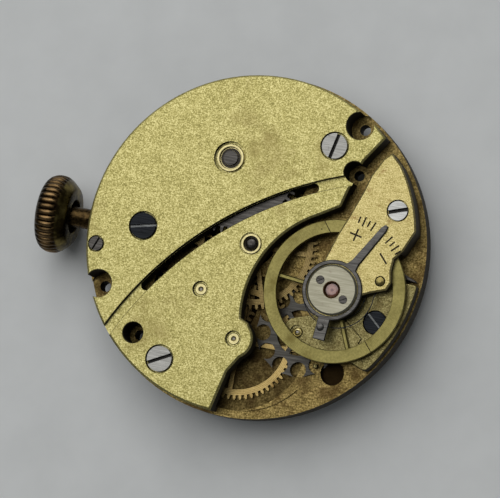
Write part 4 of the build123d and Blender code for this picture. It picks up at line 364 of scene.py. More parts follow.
def worn_and_lit_crown_bronze():
    """Dark bronze whose ridge tops show warm metal, bared by wear and painted lighter as painted
    highlight; the grooves keep the dark bronze.

    Its pitting is about 0.2 mm wide, and its patches of wear and highlight about 0.9 mm.
    """
    finish, tree, place = new_finish("worn_and_lit_crown_bronze")
    centred = add(tree, "ShaderNodeMapping", {"Vector": place, "Location": (0, 0, -STEM_Z)})
    axes = add(tree, "ShaderNodeSeparateXYZ", {"Vector": centred})
    across = add(tree, "ShaderNodeCombineXYZ", {"Y": axes.outputs["Y"], "Z": axes.outputs["Z"]})
    reach = add(tree, "ShaderNodeVectorMath", {0: across}, operation="LENGTH").outputs["Value"]
    grain = add(tree, "ShaderNodeTexNoise", {"Vector": place, "Scale": 4.5, "Detail": 4.0})
    cloud = add(tree, "ShaderNodeTexNoise", {"Vector": place, "Scale": 1.1, "Detail": 5.0})
    # Painted highlight with wear: the ridge tops, out past a reach from the stem's line, take a
    # light warm metal in patches.
    wear_and_highlight = add(tree, "ShaderNodeMapRange", {
        "Value": reach, "From Min": RIDGE_TOP_FROM, "From Max": RIDGE_TOP_TO})
    patch = add(tree, "ShaderNodeMapRange", {
        "Value": cloud, "From Min": 0.38, "From Max": 0.60, "To Min": 0.25})
    share = add(tree, "ShaderNodeMath", {0: wear_and_highlight, 1: patch}, operation="MULTIPLY")
    body = add(tree, "ShaderNodeValToRGB", {"Fac": grain}, [(0.35, "#1C150C"), (0.65, "#44351F")])
    rubbed_and_lit = add(tree, "ShaderNodeMix", {"Factor": share, 6: body, 7: linear("#927650")},
                 data_type="RGBA")
    film = add(tree, "ShaderNodeValToRGB", {"Fac": cloud}, [(0.40, "#3A3018"), (0.62, "#7E7040")])
    cone = add(tree, "ShaderNodeMapRange", {
        "Value": axes.outputs["X"], "From Min": CONE_FROM, "From Max": CONE_TO})
    skin = add(tree, "ShaderNodeMix", {"Factor": cone, 6: rubbed_and_lit, 7: film}, data_type="RGBA")
    pipe = add(tree, "ShaderNodeValToRGB", {"Fac": grain}, [(0.35, "#2C2214"), (0.65, "#5E4B2D")])
    wide = add(tree, "ShaderNodeMapRange", {
        "Value": reach, "From Min": PIPE_R, "From Max": CONE_R})
    colour = add(tree, "ShaderNodeMix", {"Factor": wide, 6: pipe, 7: skin}, data_type="RGBA")
    bump = add(tree, "ShaderNodeBump", {
        "Height": grain, "Strength": 0.5, "Distance": 0.014 * MM})
    gloss = add(tree, "ShaderNodeMapRange", {
        "Value": grain, "From Min": 0.3, "From Max": 0.7, "To Min": 0.24, "To Max": 0.42})
    shader = add(tree, "ShaderNodeBsdfPrincipled", {
        "Base Color": colour, "Metallic": 1.0, "Roughness": gloss, "Normal": bump})
    add(tree, "ShaderNodeOutputMaterial", {"Surface": shader})
    return finish


def rose_jewel():
    """Pale synthetic ruby over a polished pivot: rose at the rim, a dark red dot in the middle."""
    finish, tree, place = new_finish("rose_ruby")
    centred = add(tree, "ShaderNodeMapping", {
        "Vector": place, "Location": (-BALANCE[0], -BALANCE[1], 0)})
    axes = add(tree, "ShaderNodeSeparateXYZ", {"Vector": centred})
    flat = add(tree, "ShaderNodeCombineXYZ", {"X": axes.outputs["X"], "Y": axes.outputs["Y"]})
    reach = add(tree, "ShaderNodeVectorMath", {0: flat}, operation="LENGTH").outputs["Value"]
    grain = add(tree, "ShaderNodeTexNoise", {"Vector": place, "Scale": 6.0, "Detail": 4.0})
    ragged = add(tree, "ShaderNodeMath", {0: grain, 1: 0.22, 2: reach}, operation="MULTIPLY_ADD")
    colour = add(tree, "ShaderNodeValToRGB", {"Fac": ragged}, [
        (0.12, "#3A1410"), (0.20, "#8A463C"), (0.30, "#B88272"), (0.46, "#9A6656"),
        (0.60, "#6A3E32")])
    shader = add(tree, "ShaderNodeBsdfPrincipled", {
        "Base Color": colour, "Metallic": 0.0, "Roughness": 0.14, "IOR": 1.76,
        "Coat Weight": 0.5, "Coat Roughness": 0.06})
    add(tree, "ShaderNodeOutputMaterial", {"Surface": shader})
    return finish


def dirt_and_shade_fill(name, dark, light, rough):
    """Old oil, wax and dirt packed in a cut, dull brown black; also painted shade in slots and
    cups.

    Its grains are finer than 0.02 mm, too fine to show, and are drawn at 0.08 mm.
    """
    finish, tree, place = new_finish(name)
    grain = add(tree, "ShaderNodeTexNoise", {"Vector": place, "Scale": 12.0, "Detail": 3.0})
    colour = add(tree, "ShaderNodeValToRGB", {"Fac": grain}, [(0.35, dark), (0.65, light)])
    bump = add(tree, "ShaderNodeBump", {"Height": grain, "Strength": 0.5, "Distance": 0.01 * MM})
    shader = add(tree, "ShaderNodeBsdfPrincipled", {
        "Base Color": colour, "Metallic": 0.3, "Roughness": rough, "Normal": bump})
    add(tree, "ShaderNodeOutputMaterial", {"Surface": shader})
    return finish


crown_bronze = worn_and_lit_crown_bronze()
jewel_ruby = rose_jewel()
# Engraved lines hold a brown black wax; the cups of the bushes hold black oil with a soft shine,
# its black partly painted shade.
groove_black = dirt_and_shade_fill("engraved_black", "#1A140A", "#4E4024", rough=0.7)
oil_and_shade_black = dirt_and_shade_fill("old_oil_and_shade", "#1A150C", "#3A301C", rough=0.45)
# The slots of the bright screws are painted dark brown black as painted shade in the narrow slots.
slot_shade = dirt_and_shade_fill("slot_shade", "#1E1C17", "#45423A", rough=0.50)

# The solids that show as they are. The others are replaced by pieces with finishes of their own.
NODE_FINISHES = {
    "crown_wheel_core": bright_steel, "cap_plate": cap_steel, "hole_jewels": jewel_ruby,
    "regulator_pins": dark_steel, "hairspring_stud": plug_brass, "hairspring": spring_steel,
    "hairspring_collet": motion_brass, "balance_cylinder": bright_steel,
    "escape_pinion": pinion_steel, "fourth_wheel": fourth_brass, "fourth_pinion": pinion_steel,
    "third_wheel": third_brass, "third_pinion": pinion_steel, "centre_wheel": centre_brass,
    "centre_pinion": pinion_steel, "barrel_drum": barrel_brass, "barrel_cover": barrel_brass,
    "mainspring": spring_steel, "barrel_arbor": dark_steel, "ratchet_wheel": dark_steel,
    "crown_wheel": screw_steel, "click": bright_steel, "click_spring": spring_steel,
    "winding_pinion": pinion_steel, "sliding_pinion": pinion_steel, "winding_stem": pinion_steel,
    "setting_lever": bright_steel, "yoke": bright_steel, "yoke_spring": spring_steel,
    "setting_cover": bright_steel, "cover_screws": screw_steel, "setting_wheel": pinion_steel,
    "minute_wheel": motion_brass, "cannon_pinion": pinion_steel, "hour_wheel": motion_brass,
}
for node, finish in NODE_FINISHES.items():
    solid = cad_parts[node]
    if not solid.material_slots:
        solid.data.materials.append(finish)
    for material_slot in solid.material_slots:
        material_slot.material = finish


def mesh_of(name, shape, finishes):
    """A mesh with welded seams and outward faces from a bmesh, which is used up."""
    bmesh.ops.remove_doubles(shape, verts=shape.verts, dist=WELD)
    bmesh.ops.recalc_face_normals(shape, faces=shape.faces)
    mesh = bpy.data.meshes.new(name)
    shape.to_mesh(mesh)
    shape.free()
    for finish in finishes:
        mesh.materials.append(finish)
    return mesh


def carved(piece, cutters, cut_finish):
    """Takes the cutters out of a piece; the cut faces wear their own finish."""
    saw = bpy.data.objects.new("saw", mesh_of("saw", cutters, [cut_finish]))
    bpy.context.scene.collection.objects.link(saw)
    cut = piece.modifiers.new("carving", "BOOLEAN")
    cut.object = saw
    cut.operation = "DIFFERENCE"
    cut.solver = "EXACT"
    cut.material_mode = "TRANSFER"
    cut.use_self = True
    bpy.context.view_layer.update()
    whole = piece.evaluated_get(bpy.context.evaluated_depsgraph_get())
    result = bpy.data.meshes.new_from_object(whole)
    piece.modifiers.clear()
    piece.data = result
    bpy.data.objects.remove(saw)


def finish_piece(name, shape, finishes, body, stands_for=(), carvings=()):
    """Makes the mesh, carves it, shades flats flat and rounds smooth, and gives it to its body."""
    piece = bpy.data.objects.new(name, mesh_of(name, shape, finishes))
    bpy.context.scene.collection.objects.link(piece)
    for cutters, cut_finish in carvings:
        carved(piece, cutters, cut_finish)
    piece.data.shade_smooth()
    piece.data.set_sharp_from_angle(angle=SHARP_TURN)
    for face in piece.data.polygons:
        face.use_smooth = len(face.vertices) <= 4 and abs(face.normal.z) < LEVEL_SHARE
    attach(piece, body)
    if stands_for:
        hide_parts(*stands_for)


def cad_blank(node):
    """A merged copy of a CAD node's mesh, with its flat faces whole again."""
    shape = bmesh.new()
    shape.from_mesh(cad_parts[node].data)
    for face in shape.faces:
        face.material_index = 0
    bmesh.ops.remove_doubles(shape, verts=shape.verts, dist=WELD)
    bmesh.ops.dissolve_limit(shape, angle_limit=SAME_FLAT, verts=shape.verts,
                             edges=shape.edges, delimit=set())
    return shape


def gathered(shapes):
    """Several shapes as one."""
    whole = bmesh.new()
    for shape in shapes:
        part = bpy.data.meshes.new("part")
        shape.to_mesh(part)
        whole.from_mesh(part)
        shape.free()
        bpy.data.meshes.remove(part)
    return whole


def turned(profile, at, steps=96, axis="Z"):
    """A closed body turned from (reach, height) places, about a place or about the stem's line."""
    shape = bmesh.new()
    if axis == "Z":
        places = [mm(at[0] + reach, at[1], height) for reach, height in profile]
        middle, way = mm(at[0], at[1], 0), Vector((0, 0, 1))
    else:
        places = [mm(height, 0, at + reach) for reach, height in profile]
        middle, way = mm(0, 0, at), Vector((1, 0, 0))
    verts = [shape.verts.new(place) for place in places]
    edges = [shape.edges.new(pair) for pair in zip(verts, verts[1:])]
    if profile[0][0] > 0:
        edges.append(shape.edges.new((verts[-1], verts[0])))
    bmesh.ops.spin(shape, geom=verts + edges, cent=middle, axis=way, angle=2 * pi, steps=steps,
                   use_merge=True)
    bmesh.ops.remove_doubles(shape, verts=shape.verts, dist=WELD)
    return shape


def drill(at, reach, low, high, steps=64):
    """A round cutter from one height to another."""
    return turned([(0, low), (reach, low), (reach, high), (0, high)], at, steps)


def ring_drill(at, inner, outer, low, high, steps=64):
    """A ring, or a ring-shaped cutter."""
    return turned([(inner, low), (outer, low), (outer, high), (inner, high)], at, steps)


def stroke(at, angle, length, width, low, high):
    """A straight cutter or bar laid across a place at an angle."""
    shape = bmesh.new()
    place = Matrix.Translation(mm(*at, (low + high) / 2)) @ Matrix.Rotation(radians(angle), 4, "Z")
    sides = Matrix.Diagonal((length * MM, width * MM, (high - low) * MM, 1))
    bmesh.ops.create_cube(shape, size=1.0, matrix=place @ sides)
    return shape


def score(start, end, width, low, high, spare=0.0):
    """A straight cutter from one place to another, longer by a spare length."""
    run = Vector(end) - Vector(start)
    middle = ((start[0] + end[0]) / 2, (start[1] + end[1]) / 2)
    return stroke(middle, degrees(atan2(run.y, run.x)), run.length + spare, width, low, high)


def edges_above(shape, height):
    """The edges that lie wholly above a height."""
    return [e for e in shape.edges if all(v.co.z > height * MM for v in e.verts)]


def eased(shape, edges, width, segments):
    """Rounds the given edges by a width in millimetres."""
    bmesh.ops.bevel(shape, geom=edges, offset=width * MM, offset_type="OFFSET", segments=segments,
                    profile=0.5, affect="EDGES", clamp_overlap=True, material=-1)


def drawn_up(shape, faces, rise, keep=False):
    """Draws faces straight up by a rise and gives back the new ones."""
    grown = bmesh.ops.extrude_face_region(shape, geom=faces, use_keep_orig=keep)["geom"]
    ends = [part for part in grown if isinstance(part, bmesh.types.BMVert)]
    bmesh.ops.translate(shape, verts=ends, vec=mm(0, 0, rise))
    return [part for part in grown if isinstance(part, bmesh.types.BMFace)]


def flat_piece(outline, low, high, ease=0.0):
    """A flat piece drawn up from an outline and eased along its upper edges."""
    shape = bmesh.new()
    blade = shape.faces.new([shape.verts.new(mm(*place, low)) for place in outline])
    drawn_up(shape, [blade], high - low, keep=True)
    bmesh.ops.recalc_face_normals(shape, faces=shape.faces)
    if ease:
        eased(shape, edges_above(shape, high - LEVEL), ease, segments=2)
    return shape


def slotted_screw(at, head, shank, top, under, tip, turn, depth, width, ease):
    """A cheese-head screw with a sawn slot, its edges eased, and its plain shank.

    Its head reaches from under to top, its shank down to the tip, and its slot lies at a turn.
    """
    shape = bmesh.new()
    foot, middle = mm(at[0], at[1], under), mm(at[0], at[1], 0)
    bmesh.ops.create_circle(shape, cap_ends=True, segments=72, radius=head * MM,
                            matrix=Matrix.Translation(foot))
    across = Vector((-sin(radians(turn)), cos(radians(turn)), 0))
    for side in (1, -1):
        whole = shape.verts[:] + shape.edges[:] + shape.faces[:]
        bmesh.ops.bisect_plane(shape, geom=whole, plane_no=across,
                               plane_co=foot + across * side * width / 2 * MM)
    grown = drawn_up(shape, shape.faces[:], top - depth - under)
    lands = [face for face in grown
             if abs((face.calc_center_median() - middle).dot(across)) > width / 2 * MM]
    drawn_up(shape, lands, depth)
    eased(shape, edges_above(shape, top - LEVEL), ease, segments=3)
    holes = [e for e in shape.edges if e.is_boundary]
    cap = bmesh.ops.holes_fill(shape, edges=holes, sides=0)["faces"]
    bmesh.ops.inset_individual(shape, faces=cap, thickness=(head - shank) * MM)
    drawn_up(shape, cap, tip - under)
    bmesh.ops.delete(shape, geom=cap, context="FACES_ONLY")
    slot_floor, slot_rim = (top - depth - 10 * LEVEL) * MM, (top - ease / 2) * MM
    for face in shape.faces:
        place = face.calc_center_median()
        in_slot = abs((place - middle).dot(across)) < (width / 2 + LEVEL) * MM
        face.material_index = int(in_slot and slot_floor < place.z < slot_rim)
    return shape


def foot_of(node):
    """The lowest height of a CAD node in millimetres."""
    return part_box(node)[0].z / MM


HEAD_H = 0.90
SHANK = 0.42
SCREW_EASE = 0.07
# The screws of the bridge stand a little proud of it.
PROUD = BRIDGE_TOP + 0.06
# Each screw: its node, place, head and shank radius, top, its slot's turn, depth and width, its
# finish, what shows in its slot, and its material slot.
SCREWS = [
    ("crown_wheel_screw", CROWN_WHEEL, 1.00, SHANK, PROUD, 12, 0.22, 0.20,
     blued_steel, slot_glint_steel, "blued_steel"),
    ("setting_lever_screw", SETTING_SCREW, 0.53, 0.30, PROUD, 68, 0.24, 0.14,
     dark_steel, slot_shade, "grey_steel"),
    ("balance_cock_screw", COCK_SCREW, 0.74, SHANK, COCK_TOP, 18, 0.34, 0.27,
     bright_steel, slot_shade, "steel"),
    ("escape_cock_screw", ESCAPE_SCREW, 0.86, SHANK, ESCAPE_COCK_TOP, -42, 0.20, 0.15,
     blued_steel, slot_glint_steel, "blued_steel"),
]
for node, at, head, shank, top, turn, depth, width, finish, inside, slot in SCREWS:
    sawn = slotted_screw(at, head, shank, top, top - HEAD_H, foot_of(node), turn, depth, width,
                         ease=SCREW_EASE)
    finish_piece(node + "_sawn", sawn, [finish, inside], "plates", [node])

# The two screws of the bridge, each with its slot's turn, and the two small ones of the cap plate,
# whose slots stand askew to the line between them.
BRIDGE_SCREWS = (((4.92, 8.24), 78), ((-5.29, -9.67), 27))
CAP_SCREW_REACH, CAP_SCREW_TURNS, CAP_SLOT_SKEW = 1.14, (-31, 149), 62
bridge_screw_pair = [
    slotted_screw(at, 0.96, SHANK, PROUD, PROUD - HEAD_H, foot_of("bridge_screws"), turn,
                  depth=0.34, width=0.25, ease=SCREW_EASE)
    for at, turn in BRIDGE_SCREWS]
finish_piece("bridge_screws_sawn", gathered(bridge_screw_pair), [screw_steel, slot_shade],
             "plates", ["bridge_screws"])
cap_heads = [
    slotted_screw(polar(CAP_SCREW_REACH, turn, BALANCE), 0.30, 0.17, CAP_TOP - 0.02,
                  CAP_TOP - 0.16, foot_of("cap_screws"), turn + CAP_SLOT_SKEW,
                  depth=0.05, width=0.06, ease=0.06)
    for turn in CAP_SCREW_TURNS]
finish_piece("cap_screws_sawn", gathered(cap_heads), [dark_steel, slot_shade],
             "plates", ["cap_screws"])

# The end stone: a domed dish sunk in its bronze ring below the cap plate's face.
STONE_FOOT = 3.92
stone = turned([(0, STONE_FOOT), (0.47, STONE_FOOT), (0.49, 3.95), (0.49, 4.00), (0.46, 4.03),
                (0.36, 4.05), (0.2, 4.055), (0, 4.055)], BALANCE, steps=64)
finish_piece("cap_jewel_domed", stone, [jewel_ruby], "plates", ["cap_jewel"])
setting = turned([(0.48, STONE_FOOT), (0.48, 4.02), (0.50, 4.06), (0.57, 4.09), (0.62, 4.15),
                  (0.65, 4.15), (0.65, STONE_FOOT)], BALANCE, steps=64)
finish_piece("cap_jewel_setting", setting, [setting_bronze], "plates")

BUSH_FOOT = 2.60
TRAIN_BUSH_TOP = 3.38
# How far a bush's inner lip and its outer edge are rounded.
LIP, EDGE = 0.03, 0.04


def bush(at, outer, inner, bore, top, cup, foot):
    """A pressed bush: a rounded ring round an oil cup, bored for its pivot."""
    return turned([(bore, foot), (bore, cup), (inner - LIP, cup), (inner, cup + LIP),
                   (inner, top - LIP), (inner + LIP, top), (outer - EDGE, top),
                   (outer, top - EDGE), (outer, foot)], at)


def train_bush(at, top, foot):
    """A small bush: a flat disc with a countersunk pivot hole."""
    return turned([(0.11, foot), (0.11, top - 0.08), (0.17, top - 0.02), (0.21, top),
                   (0.40, top), (0.44, top - EDGE), (0.44, foot)], at, steps=64)


escape_bush = turned([
    (0.11, 2.14), (0.11, 2.47), (0.16, 2.51), (0.20, 2.49), (0.28, 2.46), (0.31, 2.55),
    (0.345, 2.58), (0.38, 2.56), (0.40, 2.50), (0.40, 2.14)], ESCAPE, steps=64)
bushes = [
    bush(BARREL, outer=1.05, inner=0.84, bore=0.56, top=3.50, cup=3.26, foot=3.05),
    bush(CENTRE, outer=0.78, inner=0.57, bore=0.32, top=BRIDGE_TOP, cup=3.30, foot=BUSH_FOOT),
    train_bush(THIRD, TRAIN_BUSH_TOP, BUSH_FOOT), train_bush(FOURTH, TRAIN_BUSH_TOP, BUSH_FOOT),
    escape_bush]
for number, ring in enumerate(bushes):
    for face in ring.faces:
        face.material_index = number
finish_piece("pivot_bushes_turned", gathered(bushes), bush_brasses, "plates",
             ["pivot_bushes"])
# Rings of black oil lie in the cups of the two large bushes, their black partly painted shade in
# the cups.
oil_rings = [ring_drill(BARREL, inner=0.565, outer=0.76, low=3.20, high=3.275),
             ring_drill(CENTRE, inner=0.33, outer=0.56, low=3.25, high=3.315)]
finish_piece("oil_in_bushes", gathered(oil_rings), [oil_and_shade_black], "plates")
# The centre arbor ends in a burnished dome inside its bush.
dome = turned([(0, 3.32), (0.46, 3.32), (0.46, 3.37), (0.43, 3.44), (0.35, 3.50), (0.22, 3.54),
               (0.10, 3.555), (0, 3.56)], CENTRE, steps=64)
finish_piece("centre_arbor_dome", dome, [dark_steel], "centre")

# The bridge: its upper edges eased for the light they catch, a deep well round the barrel's bush
# and a narrow sunk ring round the centre's.
WELL_FLOOR, WELL_RING_FLOOR = 3.22, 3.46
OVER_BRIDGE = BRIDGE_TOP + 0.20
BRIDGE_EASE = 0.05
bridge_wells = gathered([
    drill(BARREL, 1.24, WELL_FLOOR, OVER_BRIDGE, steps=96),
    ring_drill(CENTRE, 0.74, 0.87, WELL_RING_FLOOR, OVER_BRIDGE)])
bridge_blank = cad_blank("three_quarter_bridge")
eased(bridge_blank, edges_above(bridge_blank, BRIDGE_TOP - LEVEL), BRIDGE_EASE, segments=1)
finish_piece("three_quarter_bridge_drilled", bridge_blank, [bridge_gilt],
             "plates", ["three_quarter_bridge"], [(bridge_wells, bridge_gilt)])

# The plate: a blind recess, and a scribed arc beside the bridge.
RECESS_R, RECESS_FLOOR = 0.92, 0.95
SCRIBED_AT, SCRIBED_R, SCRIBED_W, SCRIBED_FLOOR = (0.375, -6.43), 5.96, 0.07, 1.55
plate_cuts = gathered([
    drill(BLIND_RECESS, RECESS_R, RECESS_FLOOR, PLATE_TOP + 0.30),
    ring_drill(SCRIBED_AT, SCRIBED_R, SCRIBED_R + SCRIBED_W, SCRIBED_FLOOR, PLATE_TOP + 0.10,
               steps=160)])
finish_piece("mainplate_drilled", cad_blank("mainplate"), [plate_gilt],
             "plates", ["mainplate"], [(plate_cuts, plate_gilt)])
# A thin gilt post stands beside the blind recess.
post = turned([(0, 1.60), (0.17, 1.60), (0.17, 1.95), (0.12, 2.0), (0, 2.0)], (6.20, -8.10),
              steps=32)
finish_piece("recess_post", post, [low_cock_gilt], "plates")

LOW_COCK_UNDER = 2.12
LOW_COCK_R = 1.12
LOW_COCK_EASE = 0.07
RIM_REACH = 12.86
OVER_LOW_COCK = 2.80
OVER_SCORES = 2.70


def low_cock():
    """The escape cock: a round end over its wheel, a wide foot, a horn that follows the rim."""
    end = [polar(LOW_COCK_R, turn, ESCAPE) for turn in range(-75, -250, -18)]
    upper = [(6.4, -4.1), (8.3, -3.3), (9.0, -2.3), (9.9, -1.3), (10.9, -0.72), (11.9, -0.97),
             (12.42, -0.93), (12.80, -1.03)]
    rim = [polar(RIM_REACH, turn) for turn in range(-6, -37, -3)]
    tail = [(10.16, -7.80), (10.02, -7.84), (9.80, -7.82), (9.16, -7.53), (8.5, -7.15),
            (6.8, -7.3)]
    plate = flat_piece(end + upper + rim + tail, LOW_COCK_UNDER, ESCAPE_COCK_TOP,
                       LOW_COCK_EASE)
    # The foot reaches a little into the plate above it, so that the two join.
    foot = flat_piece(upper[2:] + rim + tail[:5] + [(8.2, -4.2)], PLATE_TOP,
                      LOW_COCK_UNDER + 0.02)
    return gathered([plate, foot])


# Cut into the escape cock: the seats of its bush and screw, a ragged gap line, a notch at the
# foot, and a row of crescent marks on the horn.
GAP_LINE = [(7.92, -4.35), (8.44, -4.76), (8.97, -5.18), (9.42, -5.54), (9.24, -5.95)]
NOTCH = [(9.60, -6.95), (9.86, -7.36), (10.36, -7.22), (10.40, -6.60), (10.0, -6.5)]
MARK_TURNS = (-6.6, -7.6, -8.3, -9.4, -10.3, -11.5, -13.0)
low_cuts = [drill(ESCAPE, 0.53, 2.42, OVER_LOW_COCK), drill(ESCAPE, 0.41, 2.0, OVER_LOW_COCK),
            drill(ESCAPE_SCREW, 0.93, 1.72, OVER_LOW_COCK)]
low_cuts += [score(start, end, 0.09, 2.30, OVER_SCORES, spare=0.05)
             for start, end in zip(GAP_LINE, GAP_LINE[1:])]
low_cuts.append(flat_piece(NOTCH, 2.46, OVER_LOW_COCK))
low_cuts += [stroke(polar(12.45, turn), turn, 0.72, 0.045, 2.585, OVER_SCORES)
             for turn in MARK_TURNS]
finish_piece("escape_cock_shaped", low_cock(), [low_cock_gilt], "plates",
             ["escape_cock"], [(gathered(low_cuts), low_cock_gilt)])

# A thin steel spring lies from the cock to the rim, above the horn of the escape cock.
blade = flat_piece([(10.85, -0.02), (11.35, 0.12), (11.62, -0.22), (12.60, -0.62),
                    (12.72, -0.80), (11.50, -0.62), (10.88, -0.36)], 1.95, 2.50, ease=0.06)
finish_piece("rim_spring", blade, [dark_steel], "plates")

RIDGES = 38
STEPS_PER_RIDGE = 8
VALLEY_DEPTH = 0.19
# A low power leaves broad valleys between narrow ridges.
VALLEY_POWER = 0.55
# The knurled band along the stem, and how far the valleys run out at its two ends.
BAND_FROM, BAND_TO = -16.98, -15.28
RUN_OUT_FROM, RUN_OUT_TO = 0.45, 0.30


def knurled_crown():
    """The crown turned to its profile, then its band drawn in between the ridges."""
    profile = [
        (0, -17.25), (0.75, -17.23), (1.5, -17.19), (2.1, -17.10), (2.45, -16.98),
        (2.65, -16.86), (2.80, -16.70), (2.90, -16.52), (2.96, -16.34), (2.99, -16.15),
        (3.0, -15.95), (2.98, -15.76), (2.93, -15.58), (2.85, -15.42), (2.76, -15.28),
        (2.60, -15.08), (2.32, -14.77), (2.18, -14.65), (2.10, -14.62), (1.36, -14.62),
        (1.30, -14.68), (1.28, -15.17), (0.80, -15.17), (0.78, -15.10), (0.78, -13.22),
        (0.74, -13.14), (0.68, -13.12), (0.54, -13.12), (0.52, -13.15), (0.52, -13.52),
        (0, -13.52),
    ]
    shape = turned(profile, STEM_Z, steps=RIDGES * STEPS_PER_RIDGE, axis="X")
    for vert in shape.verts:
        along = vert.co.x / MM
        if not BAND_FROM < along < BAND_TO:
            continue
        reach = Vector((0, vert.co.y, vert.co.z - STEM_Z * MM))
        turn = atan2(reach.z, reach.y)
        valley = 1 - abs(cos(turn * RIDGES / 2)) ** VALLEY_POWER
        fade = min(1, (along - BAND_FROM) / RUN_OUT_FROM, (BAND_TO - along) / RUN_OUT_TO)
        vert.co -= reach.normalized() * VALLEY_DEPTH * MM * valley * fade
    return shape


finish_piece("crown_knurled", knurled_crown(), [crown_bronze], "stem", ["crown"])

ARM_TOP = 2.98
ARM_TURN = 53
ARM_RIDGE = 0.08


def balance_rim():
    """The balance: a rounded rim, three ridged arms and a hub."""
    rim = turned([
        (4.44, RIM_LOW), (5.35, RIM_LOW), (5.38, RIM_LOW + 0.03), (5.38, RIM_TOP - 0.04),
        (5.34, RIM_TOP), (4.45, RIM_TOP), (4.41, RIM_TOP - 0.04), (4.41, RIM_LOW + 0.03)],
        BALANCE, steps=180)
    hub = turned([(0.31, RIM_LOW), (0.85, RIM_LOW), (0.85, ARM_TOP - 0.02), (0.83, ARM_TOP),
                  (0.31, ARM_TOP)], BALANCE, steps=64)
    shapes = [rim, hub]
    for turn in (ARM_TURN, ARM_TURN + 120, ARM_TURN + 240):
        bar = stroke(polar(2.63, turn, BALANCE), turn, 3.70, 0.34, RIM_LOW, ARM_TOP)
        eased(bar, edges_above(bar, ARM_TOP - ARM_RIDGE), ARM_RIDGE, segments=1)
        shapes.append(bar)
    return gathered(shapes)


# A pin hole in the rim, and two saw cuts across it, each from one reach and turn to another.
SAW_CUTS = (((5.50, 108.9), (4.25, 103.2)), ((4.30, -47.6), (5.50, -48.3)))
OVER_RIM = 3.40
rim_cuts = [drill(polar(4.77, 112.0, BALANCE), 0.05, 3.16, OVER_RIM, steps=16)]
rim_cuts += [score(polar(*start, BALANCE), polar(*end, BALANCE), 0.06, 3.12, OVER_RIM)
             for start, end in SAW_CUTS]
finish_piece("balance_wheel_cut", balance_rim(), [balance_brass], "balance",
             ["balance_wheel"], [(gathered(rim_cuts), groove_black)])

SPURS = 12
SPUR_TURN = -66.5
SPUR_TIP = 3.25
# The round gaps between the spurs: their radius, and how far out they lie.
GAP_R, GAP_REACH = 0.61, 2.79
# How far round each gap the outline runs, and in which steps, in degrees.
SWING, SWING_STEP = 144, 16
WHEEL_LOW, WHEEL_TOP = 1.67, 1.75
# The arms stop just short of the wheel's faces, so that no faces lie on each other.
ARM_SHY = 0.005


def spurred_wheel():
    """The escape wheel: twelve spurs with round gaps between them, on a crossed-out rim."""
    pitch, inner = 360 / SPURS, 1.72
    right, left = SPUR_TURN + pitch / 2, SPUR_TURN - pitch / 2
    outline = [polar(inner, SPUR_TURN + share * pitch, ESCAPE)
               for share in (-0.5, -0.25, 0, 0.25, 0.5)]
    outline += [polar(GAP_R, right + 180 + swing, polar(GAP_REACH, right, ESCAPE))
                for swing in range(0, SWING + 1, SWING_STEP)]
    outline.append(polar(SPUR_TIP, SPUR_TURN, ESCAPE))
    outline += [polar(GAP_R, left + 180 - swing, polar(GAP_REACH, left, ESCAPE))
                for swing in range(SWING, -1, -SWING_STEP)]
    shape = flat_piece(outline, WHEEL_LOW, WHEEL_TOP)
    whole = shape.verts[:] + shape.edges[:] + shape.faces[:]
    bmesh.ops.spin(shape, geom=whole, cent=mm(*ESCAPE, 0), axis=(0, 0, 1),
                   angle=2 * pi * (SPURS - 1) / SPURS, steps=SPURS - 1, use_duplicate=True)
    hub = ring_drill(ESCAPE, 0.16, 0.62, WHEEL_LOW, WHEEL_TOP, steps=48)
    arms = [stroke(polar(1.16, turn, ESCAPE), turn, 1.24, 0.34, WHEEL_LOW + ARM_SHY,
                   WHEEL_TOP - ARM_SHY) for turn in (8, 128, 248)]
    return gathered([shape, hub] + arms)


finish_piece("escape_wheel_spurred", spurred_wheel(), [escape_steel_shaded], "escape",
             ["escape_wheel"])

# Half widths along the pointer and along the tail, each as a reach and a half width.
POINTER_HALVES = ((2.08, 0.56), (2.30, 0.42), (2.70, 0.32), (5.92, 0.25), (6.26, 0.12))
TAIL_HALVES = ((2.08, 0.46), (3.78, 0.46), (3.82, 0.42))
TAIL = -95.0


def regulator():
    """The index: a sprung ring round the cap plate, its flared pointer and its short tail."""
    shapes = [turned([(1.95, INDEX_LOW), (2.26, INDEX_LOW), (2.26, 4.04), (2.20, 4.105),
                      (2.00, 4.105), (1.95, 4.06)], BALANCE, steps=128)]
    for way, ease, halves in ((POINTER, 0.07, POINTER_HALVES), (TAIL, 0.05, TAIL_HALVES)):
        right = [polar(half, way - 90, polar(reach, way, BALANCE)) for reach, half in halves]
        left = [polar(half, way + 90, polar(reach, way, BALANCE))
                for reach, half in reversed(halves)]
        shapes.append(flat_piece(right + left, INDEX_LOW, INDEX_TOP, ease))
    return gathered(shapes)


finish_piece("regulator_index_eased", regulator(), [regulator_steel], "regulator",
             ["regulator_index"])
# The riveted head of the curb pins on the tail, a low grey dome.
pin_head = turned([(0, 4.08), (0.29, 4.08), (0.29, 4.12), (0.26, 4.17), (0.18, 4.205),
                   (0.09, 4.22), (0, 4.225)], polar(2.88, TAIL - 2, BALANCE), steps=40)
finish_piece("curb_pin_head", pin_head, [regulator_steel], "regulator")

# The cock carries a scale of plain strokes beside the pointer, and a plus and a minus.
SCALE_FLOOR, OVER_COCK = 3.83, 4.00
SCALE_REACH, SIGN_REACH = 5.60, 4.45
LONG_MARK, SHORT_MARK, MARK_W = 0.75, 0.50, 0.12
BAR_L, BAR_W = 0.95, 0.13
scale_cuts = [
    stroke(polar(SCALE_REACH, POINTER + turn, BALANCE), POINTER + turn,
           LONG_MARK if turn % 8 == 0 else SHORT_MARK, MARK_W, SCALE_FLOOR, OVER_COCK)
    for turn in (-20, -16, -12, -8, 8, 12, 16, 20)]
